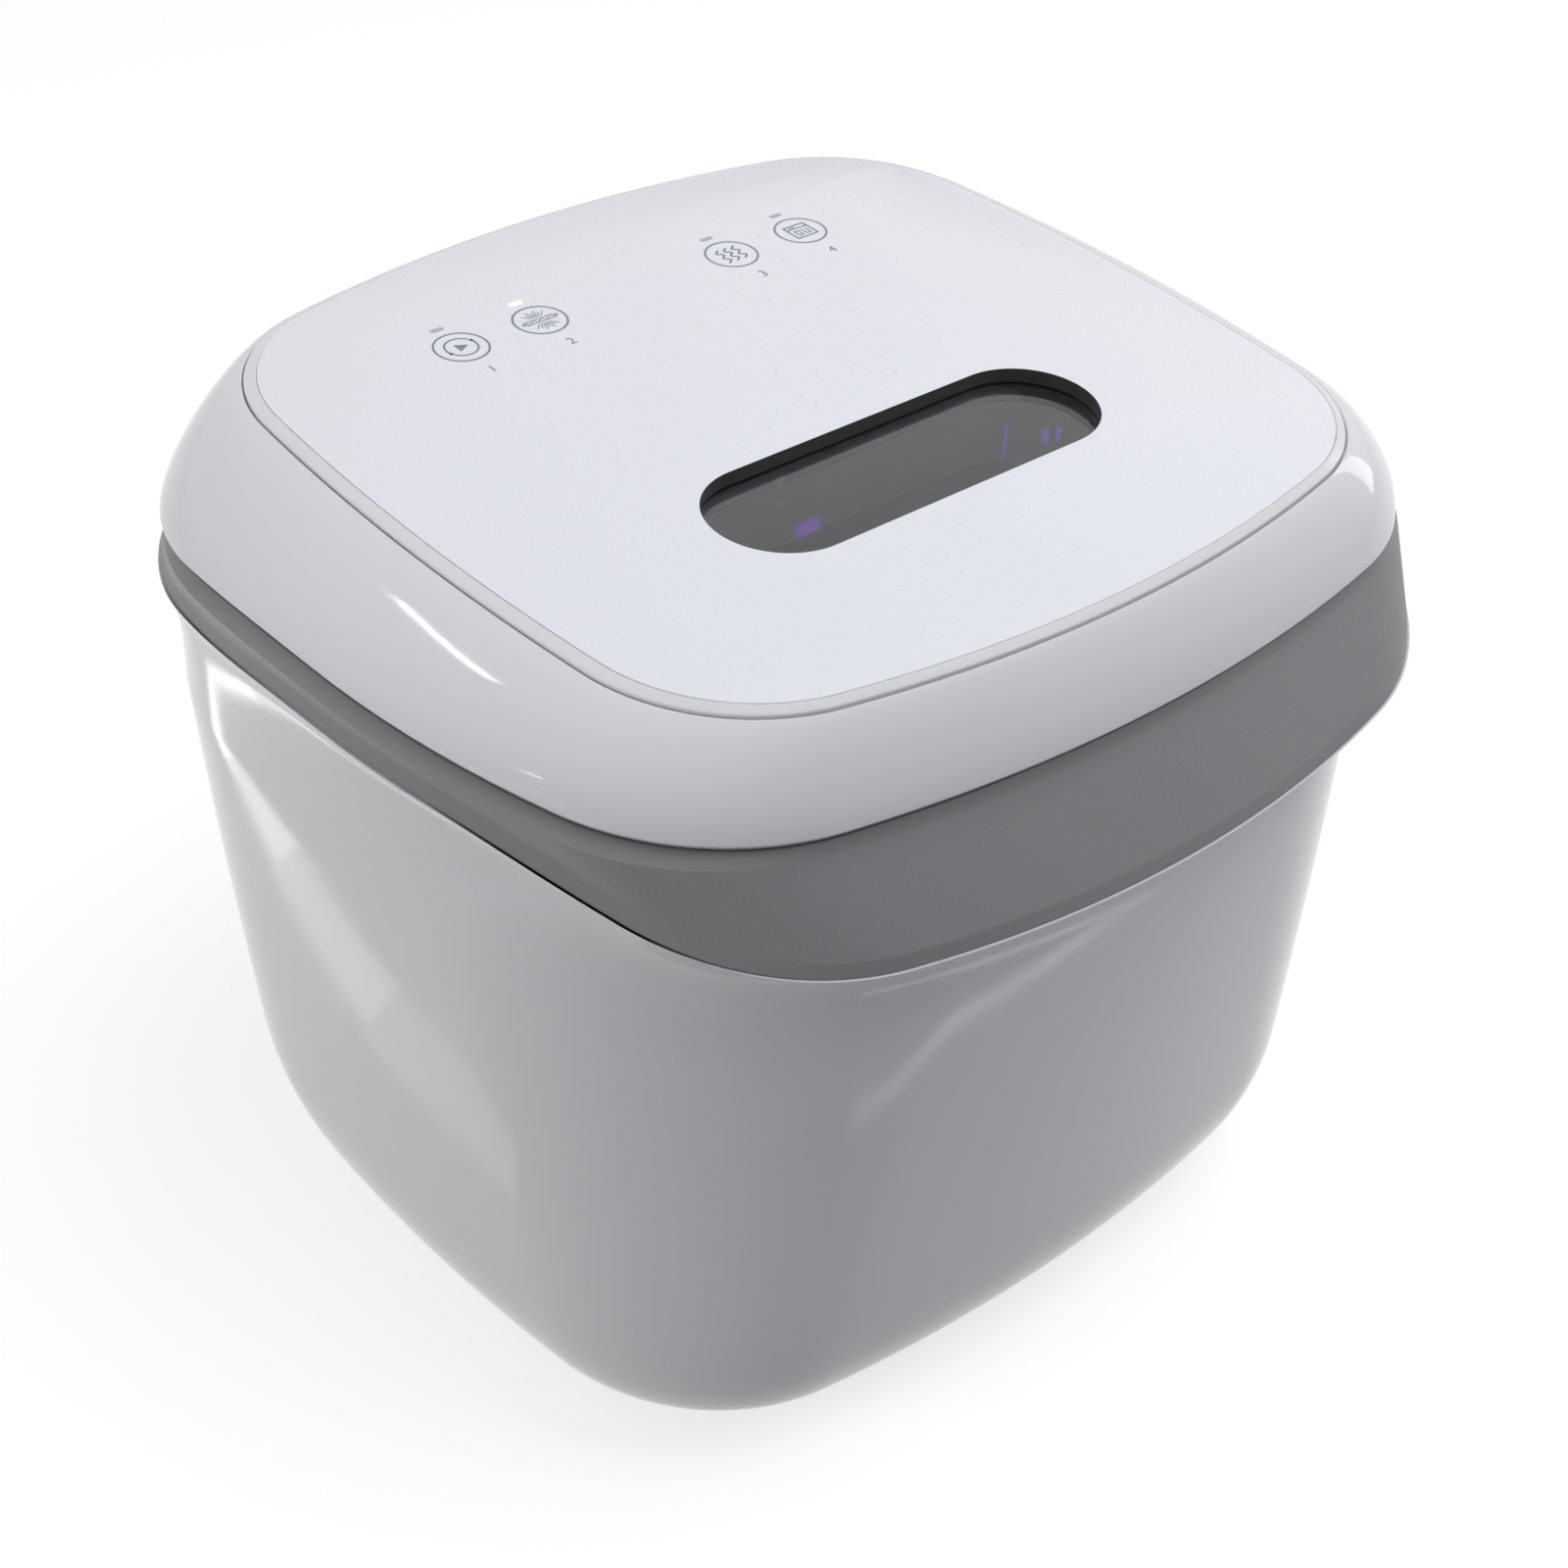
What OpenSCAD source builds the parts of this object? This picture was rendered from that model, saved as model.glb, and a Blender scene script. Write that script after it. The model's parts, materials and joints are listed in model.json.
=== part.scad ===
// Ultraviolet sanitizing and drying box with a hinged lid, a viewing window
// and four flat touch keys.
// Units are millimetres. +Z is up and the front faces -Y.
// The origin is on the floor, under the middle of the overall footprint.

/* [Lid] */
// Height of the control panel's top face above the floor
total_h = 247; // [240:0.5:262]
// Width of the control panel
panel_w = 239.2; // [230:0.2:243]
// Depth of the control panel
panel_d = 229.8; // [224:0.2:234]
// Thickness of the control panel
panel_t = 4; // [3.5:0.1:5]
// Place of the control panel's middle, front to back
panel_y = 1.3; // [-1:0.1:3]
// Width of the sloped trim around the panel
trim_w = 3.4; // [2.5:0.1:4]
// Drop of the trim from the panel to the groove
trim_drop = 1.6; // [1:0.1:2.2]
// Width of the groove outside the trim
groove_w = 0.5; // [0.4:0.1:0.8]
// Inset of the trim over the front edge against its other edges
trim_front = 0.9; // [0:0.1:1.2]
// Reach of the lid's lower edge beyond the control panel, at each side
lid_reach = 31.1; // [30:0.1:32.4]
// Place of the lid's widest line, front to back
lid_y = 9.7; // [8:0.1:11]
// Depth of the lid from its widest line to the front
lid_front = 139.4; // [138:0.1:140]
// Depth of the lid from its widest line to the back
lid_back = 126.9; // [126:0.1:128]
// Height of the lid from its lower edge to the panel's top
lid_h = 26; // [25:0.5:28]
// Fall of the lid's lower edge from the middle to the back
lid_fall = 7; // [6:0.1:8]
// Wall of the lid shell
lid_wall = 2.6; // [2:0.1:3]
// Bulge of the lid's side, where 1 is a straight slope
lid_bulge = 1.28; // [1.1:0.02:1.5]

/* [Window] */
// Length of the window's opening
window_l = 122.9; // [100:0.1:130]
// Width of the window's opening
window_w = 40; // [30:0.5:44]
// Place of the window's middle, front to back
window_y = -39.5; // [-45:0.5:-36]
// Depth of the window shaft below the panel's top
shaft_depth = 30; // [30:0.5:33]
// Thickness of the window pane
pane_t = 2.4; // [1.5:0.1:3]

/* [Keys] */
// Outer diameter of a key's ring
key_d = 15.4; // [13:0.1:17]
// Width of the printed line of a ring
key_line = 0.8; // [0.6:0.1:1.2]
// Distance of each inner key from the middle
key_inner_x = 33.25; // [30:0.25:38]
// Pitch between the two keys of a pair
key_pitch = 25.6; // [24:0.1:28]
// Place of the row of keys, front to back
key_y = 68.5; // [62:0.5:74]
// Length of an indicator lamp
led_l = 4.2; // [3:0.1:5]
// Width of an indicator lamp
led_w = 1.8; // [1.4:0.1:2.4]
// Offset of an indicator from its key's middle, front to back
led_offset = 11; // [10:0.5:12]
// Depth of the printed marks in the panel
mark_t = 0.4; // [0.3:0.1:0.6]

/* [Collar] */
// Gap between the lid's lower edge and the collar
lid_gap = 1; // [0.8:0.1:1.4]
// Inset of the neck's top from the lid's edge
neck_inset = 1.5; // [1:0.1:2.5]
// Height of the collar's neck
neck_h = 3.4; // [3:0.1:5]
// Reach of the neck's foot beyond the lid's edge, at each side
neck_out = 2.4; // [0.8:0.1:3.2]
// Place of the neck's front from the origin
neck_front = 128.7; // [127:0.1:130]
// Drop of the collar's edge from the panel's top, at the sides and back
edge_drop = 37.3; // [35:0.1:40]
// Further drop of the collar's edge over the front lip
lip_drop = 19.9; // [14:0.1:22]
// Fall of the collar's edge from the middle to the back
rear_drop = 11; // [10:0.1:12]
// Run over which the edge falls to the front
lip_run = 136.9; // [120:0.5:150]
// Inset of the collar's edge from the lid's edge, at each side
lip_in = 0.6; // [0.2:0.1:1.6]
// Place of the front lip's edge from the origin
lip_front = 146; // [143:0.5:149]
// Height of the band along the collar's edge
band_h = 3.9; // [3:0.1:5]
// Outward flare of the band
band_flare = 1.3; // [0.8:0.1:1.6]
// Wall of the collar
collar_wall = 3; // [2.4:0.1:3.4]

/* [Body] */
// Reach of the body under the collar beyond the lid's edge, at each side
body_out = 0.3; // [-0.5:0.1:1.6]
// Middle of the body, front to back
body_y = 5.5; // [4.5:0.1:6.5]
// Depth from the body's middle to its front
body_front = 141.8; // [139:0.1:143]
// Depth from the body's middle to its back
body_back = 137; // [135:0.1:138]
// Loss of half width from top to bottom
taper_side = 16.1; // [12:0.1:20]
// Loss of depth at the front from top to bottom
taper_front = 8.2; // [5:0.1:12]
// Loss of depth at the back from top to bottom
taper_back = 21.7; // [18:0.1:24]
// Inward reach of the rounding at the bottom
round_in = 28.2; // [24:0.1:32]
// Height of the rounding at the bottom
round_h = 48.8; // [40:0.1:56]
// Wall of the outer shell
body_wall = 2.6; // [2:0.1:3]
// Drop of the cove's lower end from the panel's top
cove_drop = 82; // [75:1:92]

/* [Chamber] */
// Inset of the chamber's side walls from the control panel's edge
chamber_inset = 3.6; // [3:0.1:9]
// Inner depth of the chamber
chamber_d = 194; // [186:1:196]
// Middle of the chamber, front to back
chamber_y = -13; // [-15:0.5:-12]
// Height of the chamber's floor
chamber_floor = 44; // [42:0.5:52]
// Sheet thickness of the tub
tub_t = 1.2; // [0.8:0.1:1.6]
// Thickness of the lid's seal
seal_w = 5; // [4:0.5:6]

/* [Lamps] */
// Diameter of a lamp tube
lamp_d = 15.5; // [14:0.5:16]
// Gap between a lamp's end and the chamber's side wall
lamp_gap = 10.5; // [10.5:0.5:20]
// Length of a lamp cap
cap_l = 9; // [7:0.5:11]
// Place of the lid's lamp, front to back
lid_lamp_y = 12; // [10:1:18]

/* [Air path] */
// Side of the square fan frame
fan_w = 60; // [50:1:60]
// Thickness of the fan
fan_t = 15; // [12:0.5:15]
// Drop of the fan's axis from the panel's top
fan_drop = 127; // [123:1:135]
// Number of fan blades
blades = 7; // [5:1:9]
// Thickness of the air filter
filter_t = 6; // [4:0.5:7]

/* [Rack] */
// Height of the rack's wires above the chamber's floor
rack_h = 22; // [16:1:30]
// Diameter of the rack's frame wire
rack_wire = 4; // [3:0.5:5]
// Number of cross wires
rack_wires = 11; // [7:2:13]
// Gap between the rack's frame and the chamber's wall
rack_gap = 10; // [8:1:14]
// Height of the rack's handles above its wires
handle_h = 30; // [22:1:40]

/* [Hinge] */
// Radius of the hinge knuckles
knuckle_r = 4; // [3.6:0.1:4.4]
// Radius of the hinge pins
pin_r = 2; // [1.5:0.1:2.2]
// Distance of each hinge from the middle
hinge_x = 30; // [24:1:34]
// Width of the lid's knuckle
knuckle_w = 16; // [12:1:18]

/* [Hidden] */
$fn = 48;
fit_gap = 0.3;    // gap between pieces that seat on each other
run_gap = 0.05;   // radial clearance of a pin in a turning bore
rest_gap = 0.1;   // gap under a piece that rests loose on another
n_side = 4;       // steps along a side arc
n_corner = 13;    // steps round a corner arc
n_end = 4;        // steps along a front or back arc
n_q = n_side + n_corner + n_end;

// ---- Outlines: rounded rectangles with bowed sides -------------------------
// form = [half width, front depth, back depth, front side radius, back side radius,
//         front radius, back radius, front corner radius, back corner radius]
function inset(f, d) = [for (v = f) v - d];

// Centre of the corner arc that runs on from the side arc and the end arc
function corner_at(a, b, rs, re, rc) =
    let (c1 = [a - rs, 0], c2 = [0, b - re], r1 = rs - rc, r2 = re - rc,
         d = norm(c2 - c1), e = (c2 - c1) / d, x = (r1 * r1 - r2 * r2 + d * d) / (2 * d),
         h = sqrt(max(0, r1 * r1 - x * x)), m = c1 + e * x, n = [-e[1], e[0]])
    (n[0] + n[1] > 0) ? m + h * n : m - h * n;

function arc(c, r, t0, t1, n) =
    [for (i = [0:n - 1]) let (t = t0 + (t1 - t0) * i / n) c + r * [cos(t), sin(t)]];

// One quarter, from the side's middle to the end's middle
function quarter(a, b, rs, re, rc) =
    let (cc = corner_at(a, b, rs, re, rc), c1 = [a - rs, 0], c2 = [0, b - re],
         t1 = atan2(cc[1], cc[0] - c1[0]), t2 = atan2(cc[1] - c2[1], cc[0]))
    concat(arc(c1, rs, 0, t1, n_side), arc(cc, rc, t1, t2, n_corner),
           arc(c2, re, t2, 90, n_end), [[0, b]]);

function outline(f, yc) =
    let (b = quarter(f[0], f[2], f[4], f[6], f[8]), a = quarter(f[0], f[1], f[3], f[5], f[7]))
    [for (p = concat([for (i = [0:n_q - 1]) b[i]],
                     [for (i = [n_q:-1:1]) [-b[i][0], b[i][1]]],
                     [for (i = [0:n_q - 1]) -a[i]],
                     [for (i = [n_q:-1:1]) [a[i][0], -a[i][1]]]))
        [p[0], p[1] + yc]];

function flat(f, yc, z) = [for (p = outline(f, yc)) [p[0], p[1], z]];
function mix(p, q, t) = p + (q - p) * t;
function mix_rings(p, q, t) = [for (i = [0:len(p) - 1]) mix(p[i], q[i], t)];

// Skin over a list of rings. A closed skin joins the last ring to the first.
module skin(rings) {
    n = len(rings[0]);
    m = len(rings);
    polyhedron(
        points = [for (r = rings) for (p = r) p],
        faces = [for (k = [0:m - 1]) for (i = [0:n - 1])
            let (a = k * n + i, b = k * n + (i + 1) % n,
                 c = ((k + 1) % m) * n + (i + 1) % n, d = ((k + 1) % m) * n + i)
            for (t = [[a, b, c], [a, c, d]]) t]);
}

// Upright plate with the given outline
module plate(f, yc, z0, z1) {
    translate([0, 0, z0]) linear_extrude(z1 - z0) polygon(outline(f, yc));
}

// Upright wall between an outline and its inset
module wall(f, yc, t, z0, z1) {
    translate([0, 0, z0]) linear_extrude(z1 - z0) difference() {
        polygon(outline(f, yc));
        polygon(outline(inset(f, t), yc));
    }
}

// Slot shape with round ends, lying along X
module slot2d(l, w) {
    square([l - w, w], center = true);
    for (s = [-1, 1]) translate([s * (l - w) / 2, 0]) circle(d = w);
}

module slot(l, w, z0, z1) {
    translate([0, 0, z0]) linear_extrude(z1 - z0) slot2d(l, w);
}

// Box from two corners
module box(p, q) {
    translate(p) cube(q - p);
}

// Round bar between two points
module bar(p, q, r) {
    v = q - p;
    translate(p) rotate([0, acos(v[2] / norm(v)), atan2(v[1], v[0])]) cylinder(h = norm(v), r = r);
}

// ---- Levels and forms ------------------------------------------------------
panel_low = total_h - panel_t;
groove_z = total_h - trim_drop - 0.4;
lid_edge = total_h - lid_h;
deck_top = lid_edge - lid_gap + 0.8;
deck_low = deck_top - collar_wall;
step_in = lid_wall + 3.6;   // inset of the deck's step, which clears the lid's skirt
lid_a = panel_w / 2 + lid_reach;
neck_a = lid_a + neck_out;
lip_a = lid_a - lip_in;
body_a = lid_a + body_out;
cove_end = total_h - cove_drop;
fan_z = total_h - fan_drop;
chamber_w = panel_w - 2 * chamber_inset;
lamp_l = chamber_w - 2 * lamp_gap;

panel_form = [panel_w / 2, panel_d / 2, panel_d / 2, 670, 670, 365, 365, 46, 46];
lid_form = [lid_a, lid_front, lid_back, 295, 519, 428, 380, 65, 75];
neck_top_form = inset(lid_form, neck_inset);
neck_y = 13.4;
neck_form = [neck_a, neck_front + neck_y, lid_y + lid_back - neck_y + 1.4,
    331, 344, 458, 400, 62, 88];
lip_y = 10.5;
lip_form = [lip_a, lip_front + lip_y, body_back + body_y - lip_y - 0.7,
    300, 323, 362.4, 500, 68.7, 78.8];
band_form = inset(lip_form, -band_flare);
body_form = [body_a, body_front, body_back, 520, 520, 500, 500, 110, 91];
chamber_form = [chamber_w / 2, chamber_d / 2, chamber_d / 2, 650, 650, 650, 650, 42, 42];

// The panel's outline grown by d, less over the front edge
function around(d) =
    let (f = inset(panel_form, -d))
    [for (i = [0:8]) i == 1 ? f[i] - trim_front : f[i]];

// Smooth fall of a height over a run
function fall(d, u) = let (t = min(1, max(0, u))) d * t * t * (3 - 2 * t);

// Height of the collar's edge: highest at the middle, falling to the front and to the back
fall_start = -39.5;
rear_run = 100;
function edge_z(y) =
    total_h - edge_drop - fall(lip_drop, (fall_start - y) / lip_run) - fall(rear_drop, y / rear_run);
function edge_ring(f, dz) = [for (p = outline(f, lip_y)) [p[0], p[1], edge_z(p[1]) - dz]];

// Height of the lid's lower edge, which falls to the back
function rim_z(y) = lid_edge - fall(lid_fall, y / rear_run);
function rim_ring(f, yc, dz) = [for (p = outline(f, yc)) [p[0], p[1], rim_z(p[1]) + dz]];

// Body section at a height, tapered and rounded in at the bottom
body_top = total_h - edge_drop - band_h;
body_low = 3;
function bottom_round(z) =
    let (v = max(0, (body_low + round_h - z) / round_h))
    round_in * (1 - sqrt(max(0, 1 - pow(v, 2.2))));
taper_power = 1.3;
corner_loss = 54;   // loss of the front corners' radius from top to bottom
function body_at(z, t) =
    let (s = max(0, (body_top - z) / (body_top - body_low)), w = pow(s, taper_power),
         r = bottom_round(z) + t, f = inset(body_form, t), back = body_form[2] - taper_back * w - r)
    [body_form[0] - taper_side * w - r, body_form[1] - taper_front * w - r, back,
     f[3], f[4], f[5], f[6], f[7] - corner_loss * s, min(f[8], 0.8 * back)];

hinge_y = lid_y + lid_back - 0.6;
hinge_z = lid_edge - lid_fall - lid_gap - knuckle_r - 4;
mouth_form = inset(chamber_form, -tub_t - 1);
liner_low = total_h - shaft_depth + 0.5;
liner_form = inset(chamber_form, 3);
flange_low = lid_edge + 3;
flange_form = [for (i = [0:8]) lid_form[i] - lid_wall - (i == 1 ? 2 : 6)];
flange_t = 1.5;
chassis_low = body_low + body_wall + fit_gap;
chassis_t = 2.5;
base_form = body_at(body_low, 7);
lamp_r = lamp_d / 2;
trough_low = chamber_floor - tub_t - lamp_d - 7;
trough_w = lamp_d + 18;
lower_lamp_z = chamber_floor - tub_t - lamp_r - 3;
bay_y = chamber_y + chamber_d / 2 + tub_t;
lid_lamp_z = liner_low + flange_t + lamp_r + 2.5;

// ---- Body: casing ----------------------------------------------------------
cove_steps = [[0, 0], [0.06, 0.34], [0.16, 0.6], [0.3, 0.8], [0.5, 0.93], [0.75, 0.99]];
body_steps = [1, 0.82, 0.64, 0.46, 0.34, 0.25, 0.18, 0.12, 0.07, 0.03, 0];
module shell_form() {
    top = edge_ring(inset(lip_form, -band_flare - 0.3), band_h + fit_gap);
    start = flat(body_at(cove_end, 0), body_y, cove_end);
    bottom = [for (k = body_steps) let (z = body_low + (cove_end - body_low) * k)
        flat(body_at(z, 0), body_y, z)];
    inner_top = flat(body_at(body_top, body_wall), body_y, 0);
    rim = edge_ring(lip_form, band_h + fit_gap);
    inner_rim = [for (i = [0:len(rim) - 1]) [inner_top[i][0], inner_top[i][1], rim[i][2]]];
    inner = [for (k = [0.02, 0.08, 0.18, 0.34, 0.6, 1])
        let (z = body_low + body_wall + (cove_end - body_low - body_wall) * k)
        flat(body_at(z, body_wall), body_y, z)];
    floor_low = flat(body_at(body_low, 6), body_y, body_low);
    floor_top = flat(body_at(body_low, 6), body_y, body_low + body_wall);
    skin(concat(
        [for (c = cove_steps) let (blend = mix_rings(top, start, c[1]))
            [for (i = [0:len(top) - 1])
                [blend[i][0], blend[i][1], mix(top[i][2], cove_end, c[0])]]],
        bottom, [floor_low, floor_top], inner, [inner_rim]));
}

cover_w = 68;
cover_h = 66;
cover_z0 = fan_z - cover_h / 2;
cover_z1 = fan_z + cover_h / 2;
grille_w = 84;
grille_h = 18;
grille_drop = 9.8;   // distance of the grille's top below the casing's rim at the back
grille_z1 = total_h - edge_drop - rear_drop - band_h - grille_drop;
grille_z0 = grille_z1 - grille_h;
inlet_x = 40;
inlet_z = 48;
inlet_w = 25;
inlet_h = 17;
rear_clear = 20;
rear_near = bay_y + rear_clear;     // the cuts through the casing's back run from here
rear_far = hinge_y + rear_clear;    // to here
module outer_shell() {
    color("white") difference() {
        shell_form();
        box([-cover_w / 2 - 0.4, rear_near, cover_z0 - 0.4],
            [cover_w / 2 + 0.4, rear_far, cover_z1 + 0.4]);
        box([-grille_w / 2 - 0.2, rear_near, grille_z0 - 0.2],
            [grille_w / 2 + 0.2, rear_far, grille_z1 + 0.2]);
        box([inlet_x - inlet_w / 2 - 0.3, bay_y + 6, inlet_z - inlet_h / 2 - 0.3],
            [inlet_x + inlet_w / 2 + 0.3, rear_far, inlet_z + inlet_h / 2 + 0.3]);
    }
}

// Pocket in the collar's back for one hinge, and the notch that opens it
module hinge_pocket() {
    w = bracket_w / 2 + 2.2;
    low = hinge_z - knuckle_r - 2.3;
    out = hinge_y + 2.8;
    rotate([90, 0, 90]) translate([0, 0, -w]) linear_extrude(2 * w) polygon([
        [notch_y - 1.5, low], [out, low], [out - 4.2, low + 10.7], [out - 7, low + 13.8],
        [out - 9.2, low + 14.2], [out - 9.2, deck_top - 1.8], [notch_y - 1.5, deck_top - 1.8]]);
}

module hinge_notch() {
    w = bracket_w / 2 + 0.7;
    box([-w, notch_y, hinge_z - knuckle_r - 0.8], [w, rear_far, deck_top + 5]);
}

module collar() {
    t = collar_wall;
    color("dimgray") difference() {
        union() {
            skin([
                flat(mouth_form, chamber_y, deck_top - 12),
                flat(mouth_form, chamber_y, deck_top - 1),
                flat(inset(mouth_form, -1), chamber_y, deck_top),
                flat(inset(lid_form, step_in + 0.5), lid_y, deck_top),
                rim_ring(inset(lid_form, step_in), lid_y, -lid_gap),
                rim_ring(neck_top_form, lid_y, -lid_gap - 0.3),
                rim_ring(neck_form, neck_y, -lid_gap - neck_h),
                edge_ring(lip_form, 0),
                edge_ring(band_form, band_h),
                edge_ring(inset(band_form, t), band_h),
                edge_ring(inset(lip_form, t + 0.6), 2),
                rim_ring(inset(neck_form, t + 3), neck_y, -lid_gap - neck_h - 1),
                flat(inset(neck_top_form, t + 5), lid_y, deck_low),
                flat(inset(mouth_form, -t), chamber_y, deck_low),
                flat(inset(mouth_form, -2.4), chamber_y, deck_top - 12)]);
            for (s = [-1, 1]) translate([s * hinge_x, 0, 0]) hinge_pocket();
        }
        for (s = [-1, 1]) translate([s * hinge_x, 0, 0]) hinge_notch();
    }
}

module inner_tub() {
    rim = deck_top + tub_t;
    outer = inset(chamber_form, -tub_t);
    color("silver") difference() {
        union() {
            wall(outer, chamber_y, tub_t, chamber_floor - tub_t, rim);
            plate(outer, chamber_y, chamber_floor - tub_t, chamber_floor);
            wall(inset(outer, -4), chamber_y, 5, deck_top, rim);
        }
        translate([0, chamber_y, 0])
            box([-lamp_l / 2 - 3, -lamp_r - 3, 0], [lamp_l / 2 + 3, lamp_r + 3, chamber_floor + 1]);
        for (i = [-3:3]) translate([0, 0, fan_z + i * 7])
            box([-26, bay_y - 3, -1.6], [26, bay_y + 1, 1.6]);
        for (i = [-4:4]) translate([i * 8, 0, (grille_z0 + grille_z1) / 2])
            rotate([90, 0, 0]) slot(13, 3, -bay_y - 1, -bay_y + 3);
    }
}

post_x = 60;
post_front = -78;
post_back = 64;
posts = [[-post_x, post_front], [post_x, post_front], [-post_x, post_back], [post_x, post_back]];
post_r = 4.5;
vent_x = 45;
vent_pitch = 8;
vent_l = 46;

stay_x = lamp_l / 2 - 35.5;   // the stays stand under the lamp's trough

// Vent slots through the bottom
module bottom_vents(z0, z1) {
    for (s = [-1, 1], i = [-2:2]) translate([s * vent_x, body_y + 2 + i * vent_pitch, 0])
        slot(vent_l, 3.4, z0, z1);
}

module chassis() {
    z1 = chassis_low + chassis_t;
    color("gainsboro") difference() {
        union() {
            plate(inset(base_form, -2), body_y, chassis_low, z1);
            for (p = posts) translate([p[0], p[1], chassis_low])
                cylinder(h = chamber_floor - tub_t - chassis_low, r = post_r);
            for (s = [-1, 1], y = [chamber_y - trough_w / 2 + 1, chamber_y + trough_w / 2 - 7])
                box([s * stay_x - 4, y, chassis_low], [s * stay_x + 4, y + 6, trough_low]);
        }
        for (p = posts) translate([p[0], p[1], chassis_low - 1]) cylinder(h = 20, r = 1.4);
        bottom_vents(chassis_low - 1, z1 + 1);
    }
}

foot_x = 74;
foot_front = -60;
foot_back = 46;
foot_r = 9;
feet = [[-foot_x, foot_front], [foot_x, foot_front], [-foot_x, foot_back], [foot_x, foot_back]];
stem_r = 4;
module base_cover() {
    color("gainsboro") difference() {
        plate(base_form, body_y, body_low, body_low + body_wall);
        for (p = feet) translate([p[0], p[1], 0]) cylinder(h = 20, r = stem_r + 0.05);
        for (p = posts) translate([p[0], p[1], body_low - 1]) {
            cylinder(h = 20, r = 1.7);
            cylinder(h = 2.4, r = 3.1);
        }
        bottom_vents(body_low - 1, chassis_low);
    }
}

module rubber_feet() {
    color("dimgray") for (p = feet) translate([p[0], p[1], 0]) {
        cylinder(h = body_low, r = foot_r);
        cylinder(h = body_low + body_wall, r = stem_r);
    }
}

module base_screws() {
    color("silver") for (p = posts) translate([p[0], p[1], body_low + 0.2]) {
        cylinder(h = 1.2, r = 2.9);
        cylinder(h = 16, r = 1.35);
    }
}

// ---- Body: lower lamp ------------------------------------------------------
module lamp_trough() {
    w = trough_w;
    l = lamp_l + 14;
    z1 = chamber_floor - tub_t;
    color("silver") translate([0, chamber_y, 0]) difference() {
        box([-l / 2, -w / 2, trough_low], [l / 2, w / 2, z1]);
        box([-l / 2 + 1.2, -w / 2 + 1.2, trough_low + 1.2], [l / 2 - 1.2, w / 2 - 1.2, z1 + 1]);
    }
}

module tube(z, y) {
    color("lavender") translate([-lamp_l / 2 + cap_l, y, z]) rotate([0, 90, 0]) difference() {
        cylinder(h = lamp_l - 2 * cap_l, r = lamp_r);
        translate([0, 0, 1]) cylinder(h = lamp_l - 2 * cap_l - 2, r = lamp_r - 0.9);
    }
}

pin_pitch = 4.8;
module tube_caps(z, y) {
    color("silver") for (s = [-1, 1])
        translate([s * (lamp_l / 2 - cap_l), y, z]) rotate([0, s * 90, 0]) {
            cylinder(h = cap_l, r = lamp_r);
            for (p = [-1, 1]) translate([0, p * pin_pitch / 2, cap_l]) cylinder(h = 4, r = 1.1);
        }
}

// Lamp sockets with a foot that reaches down to what carries them
socket_t = 4.6;
module tube_sockets(z, y, foot_z) {
    color("whitesmoke") for (s = [-1, 1]) difference() {
        union() {
            translate([s * (lamp_l / 2 + 0.2), y, z]) rotate([0, s * 90, 0])
                cylinder(h = socket_t, r = lamp_r);
            translate([s * (lamp_l / 2 + 0.2 + socket_t / 2), 0, 0])
                box([-socket_t / 2, y - lamp_r, foot_z], [socket_t / 2, y + lamp_r, z]);
        }
        for (p = [-1, 1]) translate([s * lamp_l / 2, y + p * pin_pitch / 2, z]) rotate([0, s * 90, 0])
            cylinder(h = 4.4, r = 1.2);
    }
}

module lower_lamp_tube() tube(lower_lamp_z, chamber_y);
module lower_lamp_caps() tube_caps(lower_lamp_z, chamber_y);
module lower_lamp_sockets() tube_sockets(lower_lamp_z, chamber_y, trough_low + 1.2);

module lamp_cover_glass() {
    color("lightblue", 0.4) translate([0, chamber_y, 0])
        box([-lamp_l / 2 - 8, -lamp_r - 7, chamber_floor], [lamp_l / 2 + 8, lamp_r + 7, chamber_floor + 2]);
}

// ---- Body: air path at the back -------------------------------------------
duct_l = 18;
fan_y = bay_y + fit_gap + duct_l;
module air_duct() {
    w = fan_w / 2;
    color("gainsboro") translate([0, bay_y + fit_gap, fan_z]) difference() {
        union() {
            box([-w + 2, 0, -w + 2], [w - 2, duct_l, w - 2]);
            box([-w, duct_l - 2.5, -w], [w, duct_l, w]);
            box([-w - 4, 0, -w - 4], [w + 4, 1.6, w + 4]);
        }
        box([-w + 4, -1, -w + 4], [w - 4, duct_l + 1, w - 4]);
        for (x = [-1, 1], z = [-1, 1]) translate([x * (w - 5), 0, z * (w - 5)])
            rotate([-90, 0, 0]) cylinder(h = duct_l + 1, r = 1.35);
    }
}

module heater() {
    w = fan_w / 2 - 4 - fit_gap;
    color("silver") translate([0, bay_y + 4, fan_z]) {
        difference() {
            box([-w, 0, -w], [w, 10, w]);
            box([-w + 2, -1, -w + 2], [w - 2, 11, w - 2]);
        }
        for (i = [-2:2]) box([-w, 0, i * 9 - 1.5], [w, 10, i * 9 + 1.5]);
        for (i = [-9:9]) box([i * 2.4 - 0.2, 1, -w], [i * 2.4 + 0.2, 9, w]);
    }
}

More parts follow.
